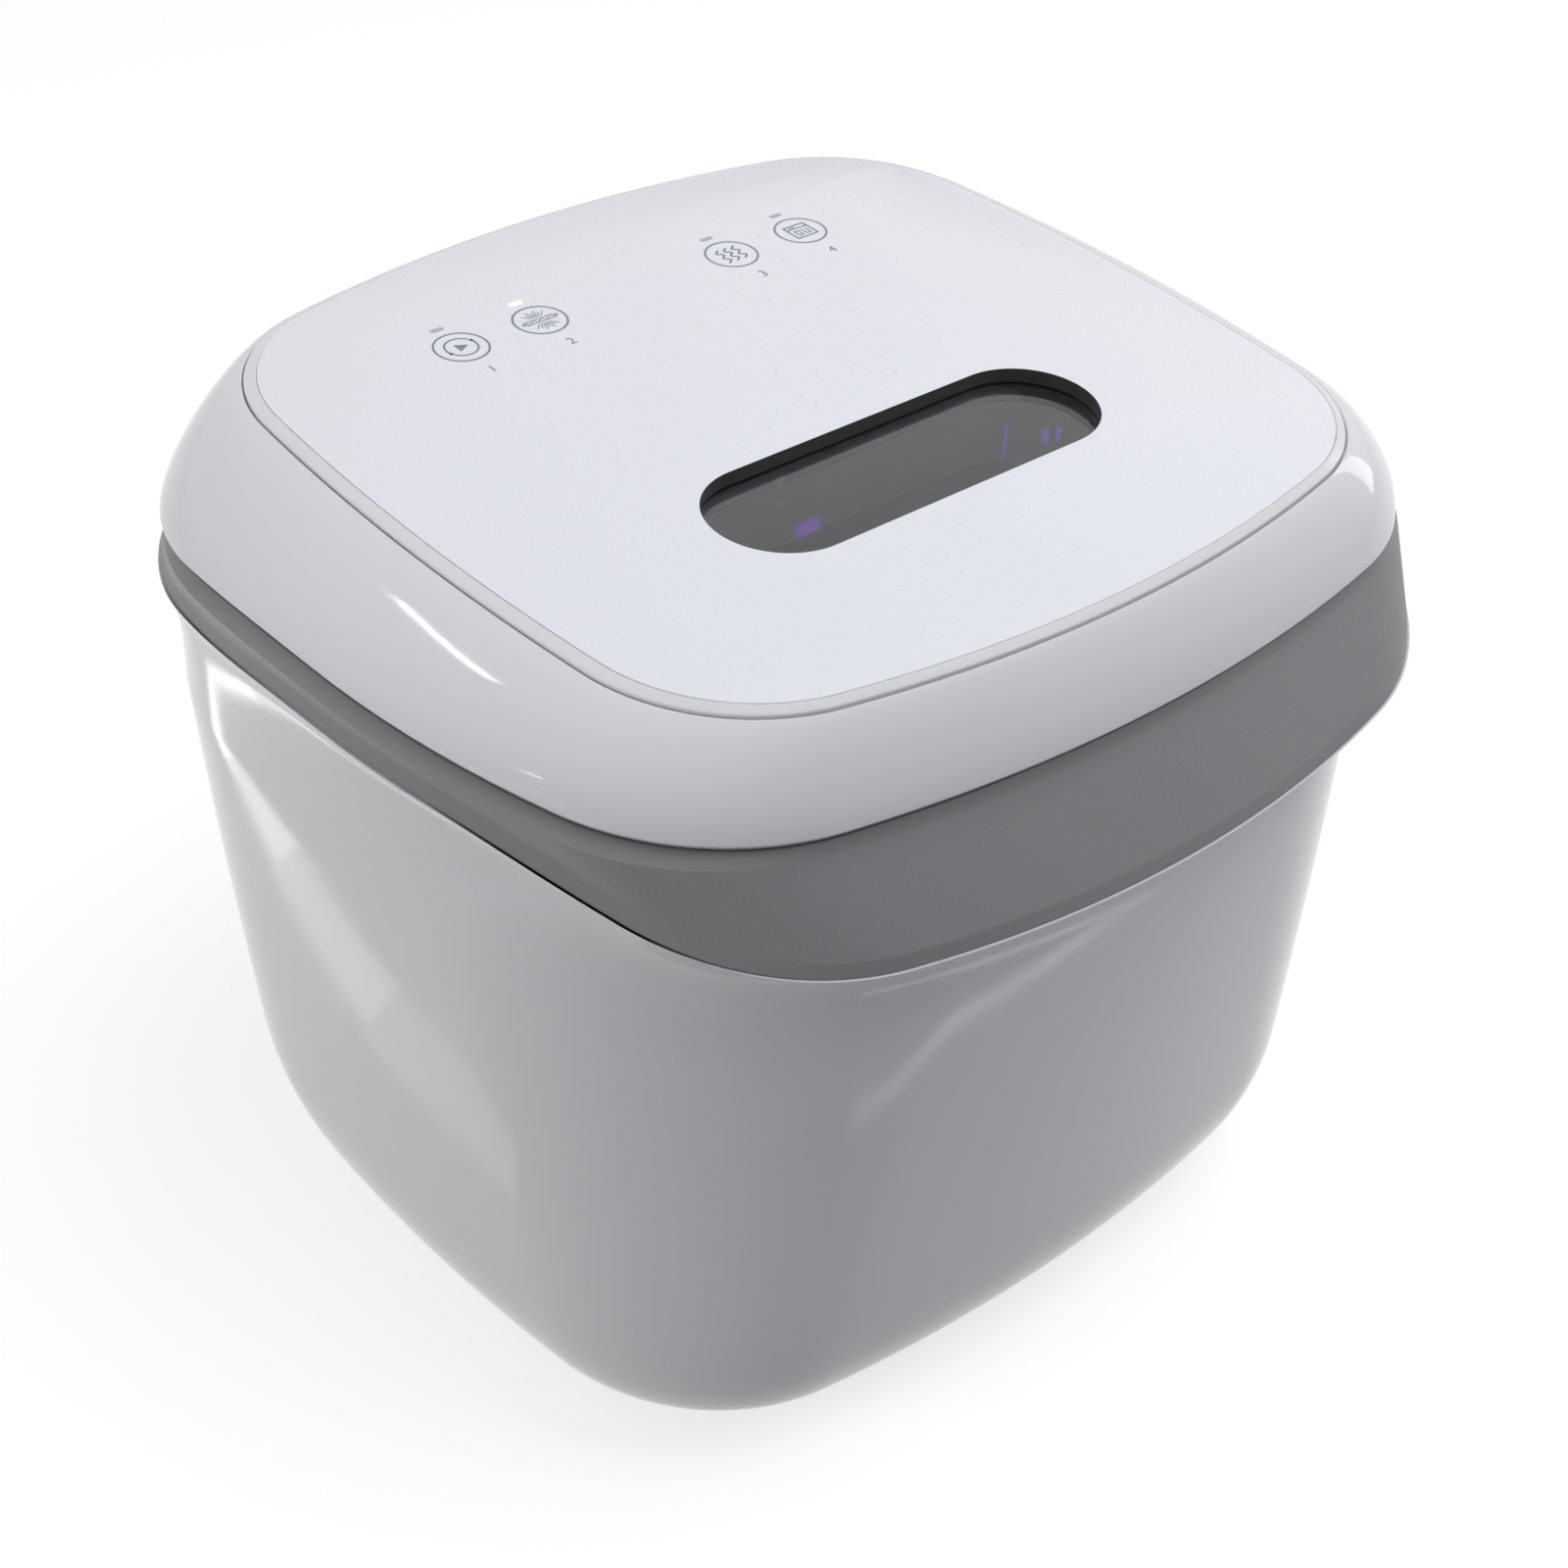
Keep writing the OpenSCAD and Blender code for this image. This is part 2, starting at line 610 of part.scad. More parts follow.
hub_r = 13;
module fan_frame() {
    w = fan_w / 2;
    color("dimgray") translate([0, fan_y, fan_z]) difference() {
        box([-w, 0, -w], [w, fan_t, w]);
        rotate([-90, 0, 0]) translate([0, 0, -1]) cylinder(h = fan_t + 2, r = w - 2);
        for (x = [-1, 1], z = [-1, 1]) translate([x * (w - 5), -1, z * (w - 5)])
            rotate([-90, 0, 0]) cylinder(h = fan_t + 2, r = 2);
    }
    color("dimgray") translate([0, fan_y, fan_z]) intersection() {
        for (a = [45:90:315]) rotate([0, a, 0]) box([-1.5, 0, hub_r + 0.2], [1.5, 2.5, w - 1]);
        box([-w, 0, -w], [w, 3, w]);
    }
}

shaft_r = 1.5;
module fan_motor() {
    color("black") translate([0, fan_y, fan_z]) rotate([-90, 0, 0]) {
        cylinder(h = 3.5, r = hub_r);
        cylinder(h = fan_t - 3, r = shaft_r);
        cylinder(h = 8, r = 9);
    }
}

blade_pitch = 38;
module fan_impeller() {
    r = fan_w / 2 - 3.2;
    color("darkgray") translate([0, fan_y, fan_z]) rotate([-90, 0, 0]) difference() {
        union() {
            translate([0, 0, 4]) cylinder(h = fan_t - 4.6, r = hub_r);
            intersection() {
                for (i = [0:blades - 1]) rotate([0, 0, i * 360 / blades]) translate([0, 0, 9])
                    rotate([blade_pitch, 0, 0]) box([hub_r - 1.5, -6.5, -0.6], [r + 3, 6.5, 0.6]);
                translate([0, 0, 4.2]) cylinder(h = fan_t - 5, r = r);
            }
        }
        translate([0, 0, 3]) cylinder(h = 5.6, r = 9.6);
        cylinder(h = fan_t + 1, r = shaft_r + run_gap);
    }
}

module fan_screws() {
    w = fan_w / 2;
    color("silver") for (x = [-1, 1], z = [-1, 1])
        translate([x * (w - 5), fan_y, fan_z + z * (w - 5)]) rotate([-90, 0, 0]) {
            translate([0, 0, fan_t]) cylinder(h = 1.2, r = 2.8);
            translate([0, 0, -3.5]) cylinder(h = fan_t + 3.5, r = 1.3);
        }
}

filter_y = fan_y + fan_t + 2;
tab_in = 2.4;   // the tray's tabs end in the door's wall, this far from its back
module filter_cover() {
    w = cover_w / 2;
    tab_end = body_y + body_at(fan_z, 0)[2] - tab_in - filter_y;
    color("white") difference() {
        union() {
            intersection() {
                shell_form();
                box([-w, rear_near, cover_z0], [w, rear_far, cover_z1]);
            }
            difference() {
                box([-w + 1, filter_y, cover_z0 + 1], [w - 1, filter_y + 9, cover_z1 - 1]);
                box([-w + 3, filter_y - 1, cover_z0 + 3], [w - 3, filter_y + 12, cover_z1 - 3]);
            }
            for (x = [-1, 1]) translate([x * (w - 4), filter_y, fan_z])
                box([-2, filter_t, -4], [2, tab_end, 4]);
        }
        for (i = [-4:4]) translate([0, 0, fan_z + i * 6])
            box([-24, rear_near + filter_t, -1.4], [24, rear_far, 1.4]);
    }
}

module air_filter() {
    w = cover_w / 2 - 3 - fit_gap;
    h = (cover_z1 - cover_z0) / 2 - 3 - fit_gap;
    color("darkslategray")
        box([-w, filter_y + 0.2, fan_z - h], [w, filter_y + filter_t - fit_gap, fan_z + h]);
}

module exhaust_grille() {
    w = grille_w / 2;
    zc = (grille_z0 + grille_z1) / 2;
    color("white") difference() {
        intersection() {
            shell_form();
            box([-w, rear_near, grille_z0], [w, rear_far, grille_z1]);
        }
        for (i = [-8:8]) translate([i * 4.6, 0, zc]) box([-1.1, rear_near, -6], [1.1, rear_far, 6]);
    }
}

duct_t = 1.6;
duct_in = 1;      // the outlet duct stands back from the grille's ends by this
rear_bow = 900;   // twice the radius to which the casing's back is bowed
module exhaust_duct() {
    w = grille_w / 2 - 2 * duct_in;
    y1 = body_y + body_at(grille_z0, 0)[2] - body_wall - w * w / rear_bow - duct_in;
    color("gainsboro") difference() {
        box([-w, bay_y + fit_gap, grille_z0 + duct_in], [w, y1, grille_z1 - duct_in]);
        box([-w + duct_t, bay_y - 1, grille_z0 + duct_in + duct_t],
            [w - duct_t, y1 + 1, grille_z1 - duct_in - duct_t]);
    }
}

// ---- Body: electrics -------------------------------------------------------
unit_x = 14;       // distance of a board's inner end from the middle
unit_l = 70;
unit_w = 32;
unit_front = -68;
board_t = 1.6;
spacer_h = 5;
spacer_r = 2;
spacer_in = 4;     // inset of a spacer from the board's edges
part_in = 6;       // inset of the parts from the board's front and back
coil_l = 20;
coil_h = 16;
coil_in = 12;      // inset of the coil from the board's inner end
can_r = 5.5;
can_h = 18;
can_in = [8, 22];  // insets of the cans from the board's outer end
ballast_t = 3;
choke_l = 12;
choke_h = 14;
choke_in = [8, 32, 52];
board_z = chassis_low + chassis_t + spacer_h;
blade_x = 4.3;
inlet_y = body_y + body_at(inlet_z, 0)[2] - inlet_x * inlet_x / rear_bow - 2;
module power_board() {
    x1 = -unit_x;
    x0 = x1 - unit_l;
    y1 = unit_front + unit_w;
    color("green") {
        box([x0, unit_front, board_z], [x1, y1, board_z + board_t]);
        for (x = [x0 + spacer_in, x1 - spacer_in], y = [unit_front + spacer_in, y1 - spacer_in])
            translate([x, y, chassis_low + chassis_t]) cylinder(h = spacer_h, r = spacer_r);
    }
}

module board_components() {
    z = board_z + board_t;
    x = -unit_x - coil_in;
    color("goldenrod") {
        box([x - coil_l, unit_front + part_in, z],
            [x, unit_front + unit_w - part_in, z + coil_h]);
        for (d = can_in) translate([-unit_x - unit_l + d, unit_front + unit_w / 2, z])
            cylinder(h = can_h, r = can_r);
    }
}

module lamp_ballast() {
    z = chassis_low + chassis_t;
    color("darkgreen") {
        box([unit_x, unit_front, z], [unit_x + unit_l, unit_front + unit_w, z + ballast_t]);
        for (d = choke_in) box([unit_x + d, unit_front + part_in, z + ballast_t],
            [unit_x + d + choke_l, unit_front + unit_w - part_in, z + ballast_t + choke_h]);
    }
}

module power_inlet() {
    color("black") translate([inlet_x, inlet_y, inlet_z]) difference() {
        box([-inlet_w / 2, -22, -inlet_h / 2], [inlet_w / 2, 0, inlet_h / 2]);
        translate([0, -14, 0]) rotate([-90, 0, 0]) slot(17.6, 9, 0, 20);
        for (x = [-blade_x, blade_x]) translate([x, -18, 0]) rotate([-90, 0, 0]) cylinder(h = 8, r = 1.25);
    }
}

module inlet_pins() {
    color("silver") for (x = [-blade_x, blade_x]) translate([inlet_x + x, inlet_y - 18, inlet_z])
        rotate([-90, 0, 0]) cylinder(h = 13, r = 1.2);
}

// ---- Hinge -----------------------------------------------------------------
ear_w = 6;
bracket_w = knuckle_w + 2 * (ear_w + fit_gap);
notch_y = lid_y + lid_back - 12.8;
plate_t = 2.2;
leaf_front = 100;
leaf_t = 2;
leaf_screw_x = 10;

// Side view of an ear or an arm round the hinge line, with its upright up to a height
module hinge_side(w, top) {
    translate([-w / 2, hinge_y, hinge_z]) {
        rotate([0, 90, 0]) cylinder(h = w, r = knuckle_r);
        box([0, notch_y + 0.6 - hinge_y, 0], [w, 0, knuckle_r]);
        box([0, notch_y + 0.6 - hinge_y, 0], [w, -3, knuckle_r + 3]);
        box([0, notch_y + 0.6 - hinge_y, 0], [w, notch_y + 0.6 + plate_t - hinge_y, top - hinge_z]);
    }
}

module hinge_brackets() {
    color("gray") for (s = [-1, 1]) translate([s * hinge_x, 0, 0]) difference() {
        union() {
            box([-bracket_w / 2, leaf_front, deck_top], [bracket_w / 2, notch_y - 0.3, deck_top + leaf_t]);
            for (e = [-1, 1]) translate([e * (bracket_w - ear_w) / 2, 0, 0]) {
                hinge_side(ear_w, deck_top + leaf_t);
                box([-ear_w / 2, notch_y - 6, deck_top], [ear_w / 2, notch_y + 2, deck_top + leaf_t]);
            }
        }
        translate([-bracket_w / 2 - 1, hinge_y, hinge_z]) rotate([0, 90, 0])
            cylinder(h = bracket_w + 2, r = pin_r + 0.02);
        for (x = [-leaf_screw_x, leaf_screw_x]) translate([x, leaf_front + 7, deck_top - 1])
            cylinder(h = 5, r = 1.7);
    }
}

module hinge_pins() {
    color("silver") for (s = [-1, 1]) translate([s * hinge_x - bracket_w / 2, hinge_y, hinge_z])
        rotate([0, 90, 0]) cylinder(h = bracket_w, r = pin_r);
}

module hinge_screws() {
    color("silver") for (s = [-1, 1], x = [-leaf_screw_x, leaf_screw_x])
        translate([s * hinge_x + x, leaf_front + 7, deck_top]) {
            translate([0, 0, leaf_t]) cylinder(h = 0.7, r = 2.8);
            cylinder(h = leaf_t, r = 1.6);
        }
}

arm_low = flange_low + flange_t;
arm_t = 2.5;
module hinge_arms() {
    color("white") for (s = [-1, 1]) translate([s * hinge_x, 0, 0]) difference() {
        union() {
            box([-knuckle_w / 2, leaf_front, arm_low], [knuckle_w / 2, notch_y + 1, arm_low + arm_t]);
            hinge_side(knuckle_w, arm_low + arm_t);
        }
        translate([-knuckle_w / 2 - 1, hinge_y, hinge_z]) rotate([0, 90, 0])
            cylinder(h = knuckle_w + 2, r = pin_r + run_gap);
    }
}

sensor_x = chamber_w / 2 + 18;
sensor_y = 20;
module lid_sensor() {
    color("black") translate([sensor_x, sensor_y, deck_low]) box([-6, -3, -6], [6, 3, -fit_gap]);
}

// ---- Rack ------------------------------------------------------------------
rack_x = chamber_w / 2 - rack_gap;
rack_y = chamber_d / 2 - rack_gap;
rack_z = chamber_floor + rack_h;
wire_r = rack_wire / 2;
grip_y = 26;
thin_r = 1.25;
cut_x = 26;
cut_y = 29;
module wire_rack() {
    leg = wire_r - 0.2;
    lift = wire_r + thin_r - 0.6;
    side_z = wire_r * 1.5;
    x0 = rack_x - cut_x;
    y0 = rack_y - cut_y;
    color("silver") translate([0, chamber_y, rack_z]) {
        for (sy = [-1, 1]) bar([-x0 - 2, sy * rack_y, 0], [x0 + 2, sy * rack_y, 0], wire_r);
        for (sx = [-1, 1]) bar([sx * rack_x, -y0 - 2, side_z], [sx * rack_x, y0 + 2, side_z], wire_r);
        for (sx = [-1, 1], sy = [-1, 1])
            bar([sx * (x0 - 1), sy * (rack_y + 1), side_z / 2],
                [sx * (rack_x + 1), sy * (y0 - 1), side_z / 2], wire_r - 0.1);
        for (i = [1:rack_wires])
            let (x = -rack_x + 2 * rack_x * i / (rack_wires + 1),
                 y = rack_y - max(0, abs(x) - x0) * cut_y / cut_x + 1.5)
            bar([x, -y, lift], [x, y, lift], thin_r);
        for (sx = [-1, 1]) {
            for (sy = [-1, 1]) {
                bar([sx * rack_x, sy * rack_y / 2, side_z], [sx * rack_x, sy * rack_y / 2, 4 - rack_h], leg);
                bar([sx * rack_x, sy * grip_y, side_z], [sx * rack_x, sy * grip_y, handle_h], leg);
            }
            bar([sx * rack_x, -grip_y - 5, handle_h], [sx * rack_x, grip_y + 5, handle_h], wire_r);
        }
    }
}

module rack_feet() {
    color("whitesmoke") for (sx = [-1, 1], sy = [-1, 1])
        translate([sx * rack_x, chamber_y + sy * rack_y / 2, chamber_floor + rest_gap]) difference() {
            cylinder(h = 7, r = wire_r + 1.4);
            translate([0, 0, 4 - rest_gap]) cylinder(h = 10, r = wire_r - 0.1);
        }
}

// ---- Lid -------------------------------------------------------------------
function lid_side(t, d) =
    let (u = pow(sin(t), 2 / lid_bulge), v = 1 - pow(cos(t), 2 / lid_bulge),
         g = around(trim_w + groove_w + 0.1),
         f = [for (i = [0:8]) mix(g[i], lid_form[i], u) - d])
    [for (p = outline(f, mix(panel_y, lid_y, u)))
        [p[0], p[1], mix(groove_z, rim_z(p[1]) + 1.2, v) - d * 0.6]];

module lid_shell() {
    g = around(trim_w + groove_w);
    steps = [8, 18, 29, 40, 51, 62, 73, 83, 90];
    inner_steps = [83, 68, 50, 32, 14];
    color("white") skin(concat(
        [flat(inset(panel_form, 4), panel_y, panel_low),
         flat(g, panel_y, panel_low),
         flat(g, panel_y, groove_z - 0.3)],
        [for (t = steps) lid_side(t, 0)],
        [rim_ring(inset(lid_form, 0.3), lid_y, 0.4),
         rim_ring(inset(lid_form, 0.9), lid_y, 0),
         rim_ring(inset(lid_form, lid_wall), lid_y, 0)],
        [for (t = inner_steps) lid_side(t, lid_wall)],
        [flat(inset(panel_form, 4), panel_y, panel_low - 2.4)]));
}

module trim_ring() {
    o = around(trim_w);
    i = inset(panel_form, -0.1);
    color("lightgray") skin([
        flat(i, panel_y, panel_low + 0.05),
        flat(o, panel_y, panel_low + 0.05),
        flat(o, panel_y, total_h - trim_drop),
        flat(inset(o, 0.3), panel_y, total_h - trim_drop + 0.3),
        flat(inset(i, -0.4), panel_y, total_h - 0.1),
        flat(i, panel_y, total_h - 0.4)]);
}

key_xs = [-key_inner_x - key_pitch, -key_inner_x, key_inner_x, key_inner_x + key_pitch];
lit_key = 1;
module led_at(x, w, z0, z1) {
    translate([x, key_y + led_offset, 0]) slot(led_l + w, led_w + w, z0, z1);
}

module key_ring_2d() {
    difference() {
        circle(d = key_d);
        circle(d = key_d - 2 * key_line);
    }
}

// Key signs: an arrow turning round, a lamp with rays, rising air, a closed box
module sign_cycle() {
    difference() {
        circle(d = 7);
        circle(d = 5.6);
        translate([0, -2.8]) square([7, 2.4], center = true);
    }
    translate([3.1, -1.4]) circle(d = 2.4, $fn = 3);
}

module sign_rays() {
    circle(d = 2.8);
    for (a = [0:45:315]) rotate(a) translate([2.4, -0.3]) square([1.9, 0.6]);
}

module sign_air() {
    for (x = [-2.6, 0, 2.6]) for (k = [-1, 0, 1]) translate([x, k * 2.2]) difference() {
        circle(d = 2.8);
        circle(d = 1.6);
        translate([(k == 0 ? 1 : -1) * 2, 0]) square([4, 4], center = true);
    }
}

module sign_box() {
    difference() {
        square([7, 5.6], center = true);
        square([5.6, 4.2], center = true);
    }
    translate([0, 1]) square([6, 0.6], center = true);
    translate([0, -1]) square([2, 0.7], center = true);
}

module signs_2d() {
    translate([key_xs[0], key_y]) sign_cycle();
    translate([key_xs[1], key_y]) sign_rays();
    translate([key_xs[2], key_y]) sign_air();
    translate([key_xs[3], key_y]) sign_box();
}

module control_panel() {
    color("ghostwhite") difference() {
        plate(panel_form, panel_y, panel_low, total_h);
        translate([0, window_y, 0]) slot(window_l, window_w, panel_low - 1, total_h + 1);
        translate([0, 0, total_h - mark_t]) linear_extrude(1) {
            for (x = key_xs) translate([x, key_y]) key_ring_2d();
            signs_2d();
        }
        for (x = key_xs) led_at(x, 0.04, panel_low - 1, total_h + 1);
    }
}

module key_rings() {
    color("slategray") translate([0, 0, total_h - mark_t]) linear_extrude(mark_t)
        for (x = key_xs) translate([x, key_y]) key_ring_2d();
}

module key_symbols() {
    color("slategray") translate([0, 0, total_h - mark_t]) linear_extrude(mark_t) signs_2d();
}

module indicator_lenses() {
    color("darkgray") for (i = [0, 2, 3]) led_at(key_xs[i], 0, panel_low, total_h);
}

module lit_indicator() {
    color("white") led_at(key_xs[lit_key], 0, panel_low, total_h);
}

pane_lap = 2.2;
module window_pane() {
    color("gray", 0.4) translate([0, window_y, 0])
        slot(window_l + 2 * pane_lap, window_w + 2 * pane_lap, panel_low - pane_t, panel_low);
}

module window_shaft() {
    t = 1.4;
    seat = panel_low - pane_t;
    color("gray") translate([0, window_y, 0]) difference() {
        union() {
            slot(window_l + 2 * t, window_w + 2 * t, total_h - shaft_depth, seat);
            slot(window_l + 2 * pane_lap + 4, window_w + 2 * pane_lap + 4, seat - 2, panel_low);
        }
        slot(window_l + 2 * pane_lap + 0.2, window_w + 2 * pane_lap + 0.2, seat, panel_low + 1);
        slot(window_l - 0.6, window_w - 0.6, total_h - shaft_depth - 1, seat + 1);
        slot(window_l + 0.4, window_w + 0.4, seat - 4.5, seat + 1);
    }
}

boss_x = panel_w / 2 - 2.2;
bosses = [[-boss_x, -36], [boss_x, -36], [-boss_x, 40], [boss_x, 40]];
board_y = key_y + 3;
board_top = panel_low - 1.4;
board_low = board_top - board_t;
touch_edge = 15.15;   // reach of the touch board beyond the outer keys
touch_w = 34;
strut_x = 66;
strut_pitch = 24;
strut_r = 3;
module lid_liner() {
    z1 = flange_low + flange_t;
    color("whitesmoke") difference() {
        union() {
            plate(flange_form, lid_y, flange_low, z1);
            plate(liner_form, chamber_y, liner_low, z1);
            for (p = bosses) translate([p[0], p[1], z1]) cylinder(h = panel_low - 2.4 - z1, r = 3.2);
        }
        plate(inset(liner_form, flange_t), chamber_y, liner_low + flange_t, z1 + 1);
        for (p = bosses) translate([p[0], p[1], flange_low - 1]) cylinder(h = 40, r = 1.5);
        translate([0, window_y, 0]) slot(window_l + 3.4, window_w + 3.4, liner_low - 1, z1);
        for (s = [-1, 1]) translate([s * hinge_x, 0, 0])
            box([-knuckle_w / 2 - 0.2, notch_y + 0.4, flange_low - 1],
                [knuckle_w / 2 + 0.2, rear_far, z1 + 1]);
        translate([0, lid_lamp_y, liner_low])
            box([-lamp_l / 2 + 4, -lamp_r - 1, -1], [lamp_l / 2 - 4, lamp_r + 1, 4]);
    }
    color("whitesmoke") for (x = [-strut_x, strut_x]) {
        translate([x, board_y - strut_pitch / 2, liner_low + 1])
            cylinder(h = board_low - liner_low - 1, r = strut_r);
        translate([x, board_y + strut_pitch / 2, flange_low + 1])
            cylinder(h = board_low - flange_low - 1, r = strut_r);
    }
}

module lid_seal() {
    f = inset(mouth_form, -4.8 - seal_w);
    color("dimgray") wall(f, chamber_y, seal_w, deck_top + fit_gap, flange_low);
}

module touch_board() {
    x = key_inner_x + key_pitch + touch_edge;
    color("green")
        box([-x, board_y - touch_w / 2, board_low], [x, board_y + touch_w / 2, board_top]);
}

module touch_pads() {
    color("goldenrod") {
        for (x = key_xs) {
            translate([x, key_y, board_top]) cylinder(h = panel_low - board_top - 0.1, r = 5);
            translate([x, key_y + led_offset, board_top])
                slot(led_l - 0.6, led_w - 0.4, 0, panel_low - board_top - 0.2);
        }
    }
}

module lid_magnet() {
    color("silver") translate([sensor_x, sensor_y, flange_low + flange_t]) cylinder(h = 4, r = 5);
}

module lid_screws() {
    color("silver") for (p = bosses) translate([p[0], p[1], flange_low - 1.2]) {
        cylinder(h = 1.2, r = 2.6);
        cylinder(h = 16, r = 1.4);
    }
}

module lid_lamp_tube() tube(lid_lamp_z, lid_lamp_y);
module lid_lamp_caps() tube_caps(lid_lamp_z, lid_lamp_y);
module lid_lamp_sockets() tube_sockets(lid_lamp_z, lid_lamp_y, liner_low + flange_t);

// Wire guard under the lid's lamp
guard_in = 9.5;   // inset of its outer cross wires from the lamp's ends
module lid_lamp_guard() {
    color("silver") translate([0, lid_lamp_y, liner_low - 0.8]) {
        for (y = [-8, 0, 8]) bar([-lamp_l / 2 + 2, y, 0], [lamp_l / 2 - 2, y, 0], 0.7);
        for (i = [-3:3]) let (x = i * (lamp_l / 2 - guard_in) / 3)
            bar([x, -lamp_r - 4, 0], [x, lamp_r + 4, 0], 0.7);
    }
}

// ---- Assembly --------------------------------------------------------------
outer_shell();
collar();
inner_tub();
chassis();
base_cover();
rubber_feet();
base_screws();
lamp_trough();
lower_lamp_tube();
lower_lamp_caps();
lower_lamp_sockets();
lamp_cover_glass();
air_duct();
heater();
fan_frame();
fan_motor();
fan_impeller();
fan_screws();
filter_cover();
air_filter();
exhaust_grille();
exhaust_duct();
power_board();
board_components();
lamp_ballast();
power_inlet();
inlet_pins();
hinge_brackets();
hinge_pins();
hinge_screws();
lid_sensor();
wire_rack();
rack_feet();
lid_shell();
trim_ring();
control_panel();
key_rings();
key_symbols();
indicator_lenses();
lit_indicator();
window_pane();
window_shaft();
lid_liner();
lid_seal();
touch_board();
touch_pads();
lid_magnet();
lid_screws();
hinge_arms();
lid_lamp_tube();
lid_lamp_caps();
lid_lamp_sockets();
lid_lamp_guard();
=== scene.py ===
import json
import math

import bmesh
import bpy
import numpy as np
from mathutils import Matrix, Vector

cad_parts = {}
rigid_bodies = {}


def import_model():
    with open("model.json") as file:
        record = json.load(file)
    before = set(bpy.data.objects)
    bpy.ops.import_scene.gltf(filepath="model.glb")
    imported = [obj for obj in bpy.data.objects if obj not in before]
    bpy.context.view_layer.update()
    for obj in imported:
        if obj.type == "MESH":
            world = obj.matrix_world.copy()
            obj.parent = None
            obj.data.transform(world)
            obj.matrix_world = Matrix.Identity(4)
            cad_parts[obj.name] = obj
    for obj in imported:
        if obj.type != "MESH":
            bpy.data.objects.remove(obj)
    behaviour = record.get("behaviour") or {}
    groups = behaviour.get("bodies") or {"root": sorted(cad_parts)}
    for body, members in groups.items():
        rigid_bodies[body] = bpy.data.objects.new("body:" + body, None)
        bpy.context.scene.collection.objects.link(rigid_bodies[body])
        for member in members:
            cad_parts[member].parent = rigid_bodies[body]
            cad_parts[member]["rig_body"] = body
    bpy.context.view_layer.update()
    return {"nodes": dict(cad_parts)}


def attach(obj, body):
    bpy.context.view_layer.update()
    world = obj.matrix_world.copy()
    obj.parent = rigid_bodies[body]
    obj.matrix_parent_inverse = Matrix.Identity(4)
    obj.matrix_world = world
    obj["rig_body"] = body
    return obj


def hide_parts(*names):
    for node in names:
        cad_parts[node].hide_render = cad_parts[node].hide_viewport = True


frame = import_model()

nodes = frame["nodes"]

# ---- Camera --------------------------------------------------------------------------
# The camera stands in front of the box to its left and looks down on the lid,
# with the long lens and the slight roll that the photograph has.
azimuth, height_angle, roll = (math.radians(v) for v in (-43.508, 37.886, 4.287))
back = Vector((math.sin(azimuth) * math.cos(height_angle),
               -math.cos(azimuth) * math.cos(height_angle),
               math.sin(height_angle)))
level = Vector((0, 0, 1)).cross(back).normalized()
upward = back.cross(level)
camera_x = math.cos(roll) * level + math.sin(roll) * upward
camera_y = -math.sin(roll) * level + math.cos(roll) * upward
camera_place = (-0.4281, -0.4548, 0.6040)
camera_data = bpy.data.cameras.new("camera")
camera_data.lens = 63.31
camera_data.sensor_width = 36
camera = bpy.data.objects.new("camera", camera_data)
camera.matrix_world = Matrix((
    (camera_x.x, camera_y.x, back.x, camera_place[0]),
    (camera_x.y, camera_y.y, back.y, camera_place[1]),
    (camera_x.z, camera_y.z, back.z, camera_place[2]),
    (0, 0, 0, 1)))
bpy.context.scene.collection.objects.link(camera)
bpy.context.scene.camera = camera

# ---- Studio: world, floor and lamps --------------------------------------------------
# A white room. The camera, mirrors and clear glass see plain white, while the
# surfaces get a softer, cooler light, so that the white plastic keeps its shades.
bpy.context.scene.view_settings.view_transform = "Standard"


def node_tree(material):
    material.use_nodes = True
    tree = material.node_tree
    tree.nodes.clear()
    return tree


def seen_plainly(tree):
    """1 for a ray of the camera, a mirror or clear glass, and 0 for light."""
    path = tree.nodes.new("ShaderNodeLightPath")
    total = None
    for name in ("Is Camera Ray", "Is Glossy Ray", "Is Transmission Ray"):
        if total is None:
            total = path.outputs[name]
            continue
        highest = tree.nodes.new("ShaderNodeMath")
        highest.operation = "MAXIMUM"
        tree.links.new(total, highest.inputs[0])
        tree.links.new(path.outputs[name], highest.inputs[1])
        total = highest.outputs[0]
    return total


world = bpy.data.worlds.new("white room")
bpy.context.scene.world = world
room = node_tree(world)
room_light = room.nodes.new("ShaderNodeBackground")
room_light.inputs["Color"].default_value = (0.93, 0.95, 1.0, 1)
room_light.inputs["Strength"].default_value = 0.30
room_seen = room.nodes.new("ShaderNodeBackground")
room_seen.inputs["Color"].default_value = (1, 1, 1, 1)
room_seen.inputs["Strength"].default_value = 1.0
room_mix = room.nodes.new("ShaderNodeMixShader")
room_out = room.nodes.new("ShaderNodeOutputWorld")
room.links.new(seen_plainly(room), room_mix.inputs["Fac"])
room.links.new(room_light.outputs[0], room_mix.inputs[1])
room.links.new(room_seen.outputs[0], room_mix.inputs[2])
room.links.new(room_mix.outputs[0], room_out.inputs[0])

